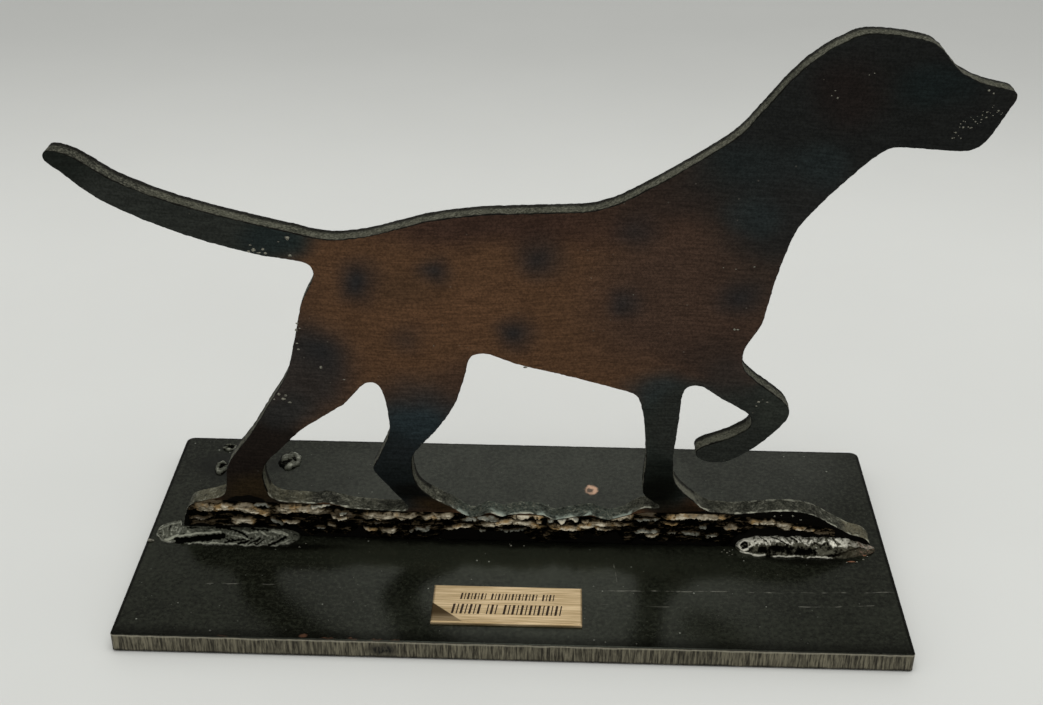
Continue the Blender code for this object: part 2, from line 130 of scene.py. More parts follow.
class Graph:
    """A node tree with short calls for the nodes that the finishes share."""

    def __init__(self, tree: bpy.types.NodeTree) -> None:
        """Work on that tree."""
        self.tree = tree

    def node(self, kind: str, **settings: object) -> bpy.types.Node:
        """Add a node and set its own properties."""
        made = self.tree.nodes.new(kind)
        for name, value in settings.items():
            setattr(made, name, value)
        return made

    def feed(self, target: Socket, value: object) -> None:
        """Link a socket to the target, or set the target's own value.

        Args:
            target: The input socket.
            value: An output socket, a number, or a tuple of numbers.
        """
        if isinstance(value, bpy.types.NodeSocket):
            self.tree.links.new(value, target)
        elif isinstance(value, (tuple, list, Vector)) and len(value) == 3 and target.type == "RGBA":
            target.default_value = (*value, 1.0)
        else:
            target.default_value = value

    def math(self, operation: str, first: object, second: object = 0.0, clamp: bool = False) -> Socket:
        """One Math node, with two inputs that are sockets or numbers."""
        made = self.node("ShaderNodeMath", operation=operation, use_clamp=clamp)
        self.feed(made.inputs[0], first)
        self.feed(made.inputs[1], second)
        return made.outputs[0]

    def times(self, first: object, second: object) -> Socket:
        """The product of two values."""
        return self.math("MULTIPLY", first, second)

    def plus(self, first: object, second: object) -> Socket:
        """The sum of two values."""
        return self.math("ADD", first, second)

    def minus(self, first: object, second: object) -> Socket:
        """The first value less the second."""
        return self.math("SUBTRACT", first, second)

    def larger(self, first: object, second: object) -> Socket:
        """The larger of two values."""
        return self.math("MAXIMUM", first, second)

    def smaller(self, first: object, second: object) -> Socket:
        """The smaller of two values."""
        return self.math("MINIMUM", first, second)

    def vector(self, operation: str, first: object, second: object = (0.0, 0.0, 0.0)) -> bpy.types.Node:
        """One Vector Math node, with two inputs that are sockets or tuples."""
        made = self.node("ShaderNodeVectorMath", operation=operation)
        self.feed(made.inputs[0], first)
        self.feed(made.inputs[1], second)
        return made

    def mapped(self, vector: Socket, scale: Sequence[float], turn: Sequence[float] = (0, 0, 0)) -> Socket:
        """The vector turned and then stretched by a Mapping node."""
        made = self.node("ShaderNodeMapping", vector_type="POINT")
        self.feed(made.inputs["Vector"], vector)
        made.inputs["Scale"].default_value = scale
        made.inputs["Rotation"].default_value = turn
        return made.outputs[0]

    def noise(self, vector: Socket, scale: object, detail: float = 3.0, roughness: float = 0.55) -> Socket:
        """Noise from 0 to 1 at the vector."""
        made = self.node("ShaderNodeTexNoise")
        self.feed(made.inputs["Vector"], vector)
        self.feed(made.inputs["Scale"], scale)
        made.inputs["Detail"].default_value = detail
        made.inputs["Roughness"].default_value = roughness
        return made.outputs[0]

    def spread(
        self, value: Socket, low: object, high: object, to_low: float = 0.0, to_high: float = 1.0
    ) -> Socket:
        """The value from low to high made to run from to_low to to_high, held at the ends.

        Args:
            value: What is read.
            low: Where the range starts.
            high: Where it ends.
            to_low: The result at low and below.
            to_high: The result at high and above.

        Returns:
            The result's socket.
        """
        made = self.node("ShaderNodeMapRange", interpolation_type="SMOOTHSTEP")
        for target, given in zip(made.inputs, (value, low, high, to_low, to_high)):
            self.feed(target, given)
        return made.outputs[0]

    def mix(self, share: object, first: object, second: object) -> Socket:
        """Two colours mixed by a share."""
        made = self.node("ShaderNodeMix", data_type="RGBA")
        self.feed(made.inputs[0], share)
        self.feed(made.inputs[6], first)
        self.feed(made.inputs[7], second)
        return made.outputs[2]

    def cover(self, color: object, shade: object, mask: object, share: object) -> Socket:
        """The colour with a shade laid over it where a mask says, by a share."""
        return self.mix(self.times(mask, share), color, shade)

    def group(self, tree: bpy.types.NodeTree, **values: object) -> bpy.types.Node:
        """Place a shader group and feed its inputs by name."""
        made = self.node("ShaderNodeGroup", node_tree=tree)
        for name, value in values.items():
            self.feed(made.inputs[name], value)
        return made


class GroupMaker:
    """Starts a shader group with named sockets."""

    KINDS = {"vector": "NodeSocketVector", "float": "NodeSocketFloat"}

    @classmethod
    def start(cls, name: str, inputs: dict[str, str], outputs: dict[str, str]) -> tuple[Graph, dict, dict]:
        """Make the group's tree.

        Args:
            name: The group's name.
            inputs: Kind of each input by name.
            outputs: Kind of each output by name.

        Returns:
            The graph, its input sockets by name, and its output sockets by name.
        """
        tree = bpy.data.node_groups.new(name, "ShaderNodeTree")
        for label, kind in inputs.items():
            tree.interface.new_socket(name=label, in_out="INPUT", socket_type=cls.KINDS[kind])
        for label, kind in outputs.items():
            tree.interface.new_socket(name=label, in_out="OUTPUT", socket_type=cls.KINDS[kind])
        graph = Graph(tree)
        first = graph.node("NodeGroupInput")
        last = graph.node("NodeGroupOutput")
        return graph, {n: first.outputs[n] for n in inputs}, {n: last.inputs[n] for n in outputs}


class SharedEffects:
    """The shader groups that several finishes place, each built once."""

    def __init__(self) -> None:
        """Build every group."""
        self.spot = self.build_spot()
        self.hairline = self.build_hairline()
        self.specks = self.build_specks()
        self.mottle = self.build_mottle()
        self.grain = self.build_grain()

    def build_spot(self) -> bpy.types.NodeTree:
        """An oval mask round a centre: 1 inside, falling to 0 at its size."""
        graph, given, out = GroupMaker.start(
            "soft_spot",
            {"Vector": "vector", "Centre": "vector", "Size": "vector", "Core": "float"},
            {"Mask": "float"},
        )
        away = graph.vector("SUBTRACT", given["Vector"], given["Centre"]).outputs[0]
        share = graph.vector("DIVIDE", away, given["Size"]).outputs[0]
        reach = graph.vector("LENGTH", share).outputs["Value"]
        graph.feed(out["Mask"], graph.spread(reach, given["Core"], 1.0, 1.0, 0.0))
        return graph.tree

    def build_hairline(self) -> bpy.types.NodeTree:
        """A thin line mask between two points, worn through in places."""
        graph, given, out = GroupMaker.start(
            "hairline",
            {"Vector": "vector", "Start": "vector", "Way": "vector", "Width": "float"},
            {"Mask": "float"},
        )
        away = graph.vector("SUBTRACT", given["Vector"], given["Start"]).outputs[0]
        along = graph.vector("DOT_PRODUCT", away, given["Way"]).outputs["Value"]
        full = graph.vector("DOT_PRODUCT", given["Way"], given["Way"]).outputs["Value"]
        share = graph.math("DIVIDE", along, full, clamp=True)
        foot = graph.node("ShaderNodeVectorMath", operation="SCALE")
        graph.feed(foot.inputs[0], given["Way"])
        graph.feed(foot.inputs["Scale"], share)
        reach = graph.vector("DISTANCE", away, foot.outputs[0]).outputs["Value"]
        line = graph.spread(reach, 0.0, given["Width"], 1.0, 0.0)
        worn = graph.spread(graph.noise(given["Vector"], 420.0), 0.35, 0.6)
        graph.feed(out["Mask"], graph.times(line, worn))
        return graph.tree

    def build_specks(self) -> bpy.types.NodeTree:
        """Small scattered specks: a mask that is 1 on them."""
        graph, given, out = GroupMaker.start(
            "specks",
            {"Vector": "vector", "Scale": "float", "Size": "float", "Share": "float"},
            {"Mask": "float"},
        )
        cells = graph.node("ShaderNodeTexVoronoi", feature="F1")
        graph.feed(cells.inputs["Vector"], given["Vector"])
        graph.feed(cells.inputs["Scale"], given["Scale"])
        picked = graph.node("ShaderNodeSeparateColor")
        graph.feed(picked.inputs[0], cells.outputs["Color"])
        chosen = graph.math("LESS_THAN", picked.outputs[0], given["Share"])
        size = graph.times(given["Size"], picked.outputs[1])
        dot = graph.math("LESS_THAN", cells.outputs["Distance"], size)
        graph.feed(out["Mask"], graph.times(chosen, dot))
        return graph.tree

    def build_mottle(self) -> bpy.types.NodeTree:
        """Uneven blotches at three sizes, from 0 to 1."""
        graph, given, out = GroupMaker.start(
            "mottle", {"Vector": "vector", "Scale": "float"}, {"Value": "float"}
        )
        broad = graph.noise(given["Vector"], given["Scale"], detail=2.0)
        middle = graph.noise(given["Vector"], graph.times(given["Scale"], 5.3), detail=3.0)
        fine = graph.noise(given["Vector"], graph.times(given["Scale"], 21.0), detail=2.0)
        mixed = graph.plus(graph.times(broad, 0.45), graph.times(middle, 0.33))
        total = graph.plus(mixed, graph.times(fine, 0.22))
        graph.feed(out["Value"], graph.spread(total, 0.3, 0.7))
        return graph.tree

    def build_grain(self) -> bpy.types.NodeTree:
        """Sanding lines along X that sag at a middle, with finer cross scratches, from 0 to 1."""
        graph, given, out = GroupMaker.start(
            "sanding_grain",
            {"Vector": "vector", "Middle": "float", "Wave": "float", "Lift": "float"},
            {"Lines": "float", "Scratches": "float"},
        )
        split = graph.node("ShaderNodeSeparateXYZ")
        graph.feed(split.inputs[0], given["Vector"])
        off = graph.math("DIVIDE", graph.minus(split.outputs["X"], given["Middle"]), given["Wave"])
        lift = graph.times(graph.math("COSINE", off), graph.times(given["Lift"], -1.0))
        bowed = graph.node("ShaderNodeCombineXYZ")
        graph.feed(bowed.inputs["X"], split.outputs["X"])
        graph.feed(bowed.inputs["Z"], graph.minus(split.outputs["Z"], lift))
        lines = graph.noise(graph.mapped(bowed.outputs[0], (120, 0, 1150)), 1.0, detail=3.0, roughness=0.6)
        turned = graph.mapped(given["Vector"], (140, 0, 2400), (0, math.radians(16), 0))
        graph.feed(out["Lines"], graph.spread(lines, 0.28, 0.72))
        graph.feed(out["Scratches"], graph.spread(graph.noise(turned, 1.0, detail=2.0), 0.3, 0.7))
        return graph.tree


EFFECTS = SharedEffects()


class Surface:
    """A material being made: its graph, its shader, and the object's own coordinates."""

    def __init__(self, name: str, metallic: float, roughness: float, specular: float = 0.5) -> None:
        """Start a material.

        Args:
            name: The material's name.
            metallic: The shader's plain metallic value.
            roughness: The shader's roughness until one is fed.
            specular: The shader's plain specular level.
        """
        self.material = bpy.data.materials.new(name)
        self.material.use_nodes = True
        self.graph = Graph(self.material.node_tree)
        self.shader = self.material.node_tree.nodes["Principled BSDF"]
        self.shader.inputs["Metallic"].default_value = metallic
        self.shader.inputs["Roughness"].default_value = roughness
        self.shader.inputs["Specular IOR Level"].default_value = specular
        self.place = self.graph.node("ShaderNodeTexCoord").outputs["Object"]

    def axis(self, name: str) -> Socket:
        """One of the coordinates X, Y and Z."""
        split = self.graph.node("ShaderNodeSeparateXYZ")
        self.graph.feed(split.inputs[0], self.place)
        return split.outputs[name]

    def warped(self, scale: float, reach: float) -> Socket:
        """The coordinates pushed about by broad noise."""
        graph = self.graph
        cloud = graph.node("ShaderNodeTexNoise")
        graph.feed(cloud.inputs["Vector"], self.place)
        cloud.inputs["Scale"].default_value = scale
        push = graph.vector("SUBTRACT", cloud.outputs["Color"], (0.5, 0.5, 0.5)).outputs[0]
        scaled = graph.vector("MULTIPLY", push, (reach, reach, reach)).outputs[0]
        return graph.vector("ADD", self.place, scaled).outputs[0]

    def flat(self, vector: Socket) -> Socket:
        """The coordinates without their depth in the plate."""
        return self.graph.vector("MULTIPLY", vector, (1.0, 0.0, 1.0)).outputs[0]

    def noise(self, scale: float, detail: float = 3.0, roughness: float = 0.55) -> Socket:
        """Noise from 0 to 1 at the coordinates."""
        return self.graph.noise(self.place, scale, detail, roughness)

    def mottle(self, scale: float) -> Socket:
        """Uneven blotches from 0 to 1."""
        return self.graph.group(EFFECTS.mottle, Vector=self.place, Scale=scale).outputs[0]

    def specks(self, scale: float, size: float, share: float) -> Socket:
        """Mask of small specks, with a share of the cells filled."""
        made = self.graph.group(EFFECTS.specks, Vector=self.place, Scale=scale, Size=size, Share=share)
        return made.outputs[0]

    def spot(self, vector: Socket, centre: Vector, size: Sequence[float], core: float) -> Socket:
        """Mask of a soft oval round a centre, whole in its core."""
        return self.graph.group(EFFECTS.spot, Vector=vector, Centre=centre, Size=size, Core=core).outputs[0]

    def face_spot(self, vector: Socket, place: Sequence[float], half: Sequence[float], core: float) -> Socket:
        """Mask of a soft oval on the hound.

        Args:
            vector: The coordinates that it lies in.
            place: Millimetres right of the base's middle and above its top.
            half: Its half sizes in millimetres.
            core: Share of it that is whole.

        Returns:
            The mask.
        """
        return self.spot(vector, on_face(*place), (half[0] * MM, 1.0, half[1] * MM), core)

    def base_spot(
        self, vector: Socket, place: Sequence[float], half: Sequence[float], core: float, depth: float = 1.0
    ) -> Socket:
        """Mask of a soft oval on the base's top.

        Args:
            vector: The coordinates that it lies in.
            place: Millimetres right of the base's middle and behind it.
            half: Its half sizes in millimetres.
            core: Share of it that is whole.
            depth: How far it reaches down, in metres.

        Returns:
            The mask.
        """
        return self.spot(vector, on_base(*place), (half[0] * MM, half[1] * MM, depth), core)

    def gloss(self, level: Socket) -> None:
        """Feed the shader's specular level."""
        self.graph.feed(self.shader.inputs["Specular IOR Level"], level)

    def attribute(self, name: str) -> Socket:
        """A value that the mesh keeps at each point."""
        made = self.graph.node("ShaderNodeAttribute", attribute_type="GEOMETRY", attribute_name=name)
        return made.outputs["Fac"]

    def scaled(self, color: Socket, level: Socket) -> Socket:
        """The colour made lighter or darker by a level."""
        made = self.graph.node("ShaderNodeVectorMath", operation="SCALE")
        self.graph.feed(made.inputs[0], color)
        self.graph.feed(made.inputs["Scale"], level)
        return made.outputs[0]

    def close(
        self, color: Socket, roughness: object, height: Socket | None = None, depth: float = 0.0
    ) -> None:
        """Feed the shader.

        Args:
            color: Base colour.
            roughness: Roughness, a socket or a number.
            height: Relief that the bump reads.
            depth: How deep that relief is, in metres.
        """
        graph = self.graph
        graph.feed(self.shader.inputs["Base Color"], color)
        graph.feed(self.shader.inputs["Roughness"], roughness)
        if height is not None:
            bump = graph.node("ShaderNodeBump")
            bump.inputs["Distance"].default_value = depth
            graph.feed(bump.inputs["Height"], height)
            graph.feed(self.shader.inputs["Normal"], bump.outputs[0])


@dataclass(frozen=True)
class Tint:
    """A soft oval of heat colour on the hound, in millimetres right of the middle and above the base."""

    x: float
    z: float
    half_width: float
    half_height: float
    color: Color
    share: float = 1.0
    core: float = 0.2


@dataclass(frozen=True)
class HeatPatina:
    """Sanded steel that a torch has turned brown on the body and blue-black towards every end, with painted
    shade at two feet.
    """

    brown: Color = looks(72, 51, 35)
    teal: Color = looks(30, 42, 43)
    torch_spot: Color = looks(28, 29, 30)
    soot_and_shade: Color = looks(9, 8, 6)
    dust: Color = looks(110, 105, 95)
    line_middle: float = -0.035
    line_wave: float = 0.024
    line_lift: float = 0.0022
    # Dark ovals left by the torch: x, z, radius and share
    spots: tuple[tuple[float, float, float, float], ...] = (
        (-45, 90, 10.5, 0.95), (-23, 94.5, 8.0, 0.85), (6, 98, 10.5, 0.85), (-31, 72, 8.0, 0.5),
        (0, 74, 9.5, 0.9), (30, 85, 8.0, 0.75), (62, 87, 10.0, 0.8), (-58, 66, 11.0, 0.75),
        (33, 107, 9.0, 0.6),
    )
    burnt_height: float = 0.0098
    burnt_fade: float = 0.001
    # Stretches of the strip burnt higher up: x, z and half sizes
    burnt: tuple[tuple[float, float, float, float], ...] = (
        (-80, 8, 46, 5.2), (-83, 12, 7, 3.4), (76, 9, 42, 5.0), (84, 11, 24, 5.0),
    )

    def tints(self) -> tuple[Tint, ...]:
        """Ovals of heat colour, laid on in order; the near-black ones at two feet are painted shade."""
        return (
            Tint(-20, 80, 28, 13, looks(80, 56, 38), 0.5),
            Tint(-66, 84, 14, 22, looks(60, 44, 32), 0.6),
            Tint(-30, 87, 15, 10, looks(60, 44, 31), 0.6),
            Tint(50, 86, 44, 42, looks(55, 41, 33), 0.95, 0.35),
            Tint(-6, 109, 66, 12, looks(44, 31, 26), 0.85),
            Tint(42, 118, 36, 16, looks(38, 30, 26), 0.9),
            Tint(72, 102, 26, 32, looks(40, 33, 28), 0.8),
            Tint(60, 66, 24, 14, looks(42, 33, 28), 0.85),
            Tint(-64, 60, 24, 24, looks(39, 36, 34), 0.95, 0.3),
            Tint(-28, 46, 26, 18, looks(38, 37, 36), 0.95, 0.25),
            Tint(-12, 58, 16, 12, looks(52, 39, 32), 0.7),
            Tint(88, 142, 66, 48, looks(23, 24, 23), 1.0, 0.55),
            Tint(74, 112, 26, 20, looks(28, 28, 27), 0.9, 0.3),
            Tint(106, 147, 36, 26, looks(20, 21, 20), 0.9, 0.4),
            Tint(60, 126, 20, 10, self.teal, 0.22),
            Tint(64, 113, 12, 8, self.teal, 0.35),
            Tint(80, 128, 12, 9, self.teal, 0.3),
            Tint(107, 150, 14, 9, looks(17, 25, 25), 0.7),
            Tint(86, 148, 14, 14, looks(25, 19, 17), 0.75),
            Tint(-98, 112, 50, 28, looks(34, 36, 33), 1.0, 0.75),
            Tint(-126, 126, 18, 10, looks(21, 24, 21), 1.0, 0.3),
            Tint(-68, 101, 14, 9, looks(24, 32, 32), 0.8),
            Tint(-79, 28, 22, 26, looks(24, 20, 17), 0.98, 0.66),
            Tint(-68, 47, 14, 9, looks(36, 36, 35), 0.9),
            Tint(-30, 27, 24, 20, looks(24, 28, 29), 1.0, 0.72),
            Tint(-30, 43, 15, 10, looks(32, 41, 44), 0.9),
            Tint(-35, 24, 14, 9, looks(18, 22, 22), 0.95, 0.3),
            # Painted shade at the hind foot
            Tint(-29, 18, 14, 6, looks(8, 8, 6), 0.9, 0.3),
            Tint(44, 34, 16, 26, looks(33, 37, 34), 1.0, 0.72),
            Tint(43, 56, 16, 8, looks(33, 39, 39), 0.9, 0.3),
            Tint(43, 25, 14, 12, looks(17, 20, 17), 1.0, 0.3),
            # Painted shade at the fore foot
            Tint(42, 19, 12, 8, looks(7, 8, 5), 0.95, 0.3),
            Tint(66, 44, 32, 20, looks(33, 35, 32), 1.0, 0.74),
            Tint(62, 62, 12, 9, looks(42, 37, 34), 0.7),
            Tint(76, 50, 9, 12, looks(40, 43, 38), 0.6),
            Tint(51, 12.5, 14, 5.5, looks(24, 18, 11), 0.9, 0.2),
            Tint(-24, 12.5, 12, 5.0, looks(36, 27, 15), 0.95, 0.2),
            Tint(-82, 17, 13, 8.0, looks(38, 30, 18), 0.95, 0.2),
        )

    def soot_mask(self, surface: Surface) -> Socket:
        """Where the strip's face is burnt black: the whole length low down, and higher beyond the feet."""
        graph = surface.graph
        ragged = surface.warped(330.0, 0.0016)
        split = graph.node("ShaderNodeSeparateXYZ")
        graph.feed(split.inputs[0], ragged)
        low = BASE_TOP + self.burnt_height
        mask = graph.spread(split.outputs["Z"], low, low + self.burnt_fade, 1.0, 0.0)
        for x, z, half_x, half_z in self.burnt:
            mask = graph.larger(mask, surface.face_spot(ragged, (x, z), (half_x, half_z), 0.88))
        return mask

    def build(self) -> bpy.types.Material:
        """Make the material."""
        surface = Surface("heat_patina", metallic=0.3, roughness=0.45, specular=0.06)
        graph = surface.graph
        flat = surface.flat(surface.warped(45.0, 0.010))
        grain = graph.group(
            EFFECTS.grain, Vector=surface.place,
            Middle=self.line_middle, Wave=self.line_wave, Lift=self.line_lift,
        )
        color = self.brown
        for tint in self.tints():
            mask = surface.face_spot(flat, (tint.x, tint.z), (tint.half_width, tint.half_height), tint.core)
            color = graph.cover(color, tint.color, mask, tint.share)
        for x, z, radius, share in self.spots:
            mask = surface.face_spot(flat, (x, z), (radius, radius), 0.0)
            color = graph.cover(color, self.torch_spot, mask, share)
        broad = surface.mottle(60.0)
        lines = graph.spread(grain.outputs["Lines"], 0.0, 1.0, 0.83, 1.17)
        fine = graph.spread(grain.outputs["Scratches"], 0.0, 1.0, 0.93, 1.07)
        cloud = graph.spread(broad, 0.0, 1.0, 0.92, 1.08)
        grit = graph.spread(surface.noise(1700.0, detail=2.0), 0.3, 0.7, 0.74, 1.26)
        level = graph.times(graph.times(lines, fine), graph.times(cloud, grit))
        color = graph.cover(surface.scaled(color, level), self.dust, surface.specks(420.0, 0.16, 0.10), 0.2)
        color = graph.mix(self.soot_mask(surface), color, self.soot_and_shade)
        height = graph.plus(grain.outputs["Lines"], grain.outputs["Scratches"])
        surface.close(color, graph.spread(broad, 0.0, 1.0, 0.36, 0.5), height, 0.00002)
        return surface.material


@dataclass(frozen=True)
class TorchCutEdge:
    """The plate's cut wall: grey and grainy, its arrises dark, but bright along the ground strip, where
    painted highlight lies on its arrises, ledges and middle.
    """

    dull: Color = looks(38, 39, 31, TOP_LIGHT)
    light: Color = looks(73, 73, 62, TOP_LIGHT)
    grain: Color = looks(102, 101, 88, TOP_LIGHT)
    scorched: Color = looks(12, 12, 9, TOP_LIGHT)
    # Painted highlight for the strip's arrises and ledges
    arris_highlight: Color = looks(158, 158, 142, TOP_LIGHT)
    # Pale teal-white painted highlight for the strip's middle
    arc_highlight: Color = looks(140, 149, 138, TOP_LIGHT)
    strip_shade: Color = looks(30, 31, 26, TOP_LIGHT)
    # Stretches of another shade: x, z, half sizes, colour and share
    stretches: tuple[tuple[float, float, float, float, Color, float], ...] = (
        (-122, 124, 34, 16, looks(34, 35, 30, TOP_LIGHT), 0.75),
        (-82, 14, 24, 6, looks(98, 94, 75, TOP_LIGHT), 0.65),
        (-59, 13, 5.5, 5, looks(12, 12, 8, TOP_LIGHT), 0.85),
        (6, 10, 34, 6, looks(60, 70, 64, TOP_LIGHT), 0.75),
        (50, 17, 9, 9, looks(104, 104, 92, TOP_LIGHT), 0.6),
        (84, 13, 22, 6, looks(38, 39, 33, TOP_LIGHT), 0.7),
        (106, 4, 8, 6, looks(102, 96, 76, TOP_LIGHT), 0.75),
        (64, 33, 12, 9, looks(96, 97, 84, TOP_LIGHT), 0.5),
        # The next stretch is painted light in the raised paw's shaded inner corner
        (70, 38.5, 5, 4, looks(118, 120, 102, TOP_LIGHT), 0.7),
    )
    # Patches of painted highlight in the strip's middle, in millimetres
    arc_highlight_place: tuple[float, float] = (8, 10)
    arc_highlight_half: tuple[float, float] = (34, 8)

    def build(self) -> bpy.types.Material:
        """Make the material."""
        surface = Surface("torch_cut_edge", metallic=0.1, roughness=0.6, specular=0.02)
        graph = surface.graph
        blotch = surface.mottle(110.0)
        fine = surface.noise(1500.0, detail=3.0, roughness=0.7)
        color = graph.mix(blotch, self.dull, self.light)
        flat = surface.flat(surface.place)
        for x, z, half_x, half_z, shade, share in self.stretches:
            color = graph.cover(color, shade, surface.face_spot(flat, (x, z), (half_x, half_z), 0.6), share)
        color = graph.cover(color, self.grain, graph.spread(fine, 0.44, 0.7), 0.8)
        pits = graph.spread(fine, 0.30, 0.47, 1.0, 0.0)
        color = graph.cover(color, self.scorched, pits, 0.7)
        drift = graph.times(graph.minus(surface.noise(190.0), 0.5), 0.0014)
        depth = graph.plus(surface.axis("Y"), drift)
        front = graph.spread(depth, FACE_Y + 0.0002, FACE_Y + 0.0009, 1.0, 0.0)
        back = graph.spread(depth, -FACE_Y - 0.0032, -FACE_Y - 0.0014)
        strip_top = BASE_TOP + STRIP_HEIGHT
        strip = graph.spread(surface.axis("Z"), strip_top - 0.001, strip_top, 1.0, 0.0)
        body = graph.minus(1.0, strip)
        dark = graph.times(graph.larger(front, graph.times(back, 0.9)), body)
        color = graph.mix(dark, color, self.scorched)
        shaded = graph.times(strip, graph.spread(blotch, 0.2, 0.8, 0.6, 0.2))
        color = graph.mix(shaded, color, self.strip_shade)
        # Painted highlight on the ledges of the strip's layered wall
        layered = graph.noise(graph.mapped(surface.place, (520, 640, 700)), 1.0, detail=4.0, roughness=0.75)
        ledges = graph.times(graph.spread(layered, 0.56, 0.68), strip)
        color = graph.cover(color, self.arris_highlight, ledges, 0.34)
        cracks = graph.times(graph.spread(layered, 0.36, 0.46, 1.0, 0.0), strip)
        color = graph.cover(color, self.scorched, cracks, 0.75)
        # Painted highlight: pale teal-white patches in the strip's middle, near its front
        pale = surface.face_spot(flat, self.arc_highlight_place, self.arc_highlight_half, 0.75)
        wide = graph.spread(surface.axis("Y"), FACE_Y + 0.0007, FACE_Y + 0.0030, 1.0, 0.0)
        patches = graph.spread(surface.noise(260.0), 0.46, 0.60)
        color = graph.cover(color, self.arc_highlight, graph.times(graph.times(pale, wide), patches), 0.85)
        # Painted highlight along the strip's front arris, fainter along its back arris, broken into patches
        near = graph.spread(surface.axis("Y"), FACE_Y + 0.0005, FACE_Y + 0.0010, 1.0, 0.0)
        far = graph.spread(surface.axis("Y"), -FACE_Y - 0.0009, -FACE_Y - 0.0004)
        worn = graph.spread(surface.noise(330.0), 0.44, 0.62)
        dim_far = graph.times(far, graph.spread(surface.axis("X"), 0.060, 0.080, 0.12, 0.42))
        shine = graph.times(graph.larger(near, dim_far), worn)
        color = graph.cover(color, self.arris_highlight, graph.times(shine, strip), 0.85)
        surface.close(color, graph.spread(blotch, 0.0, 1.0, 0.7, 0.5), fine, 0.00012)
        return surface.material


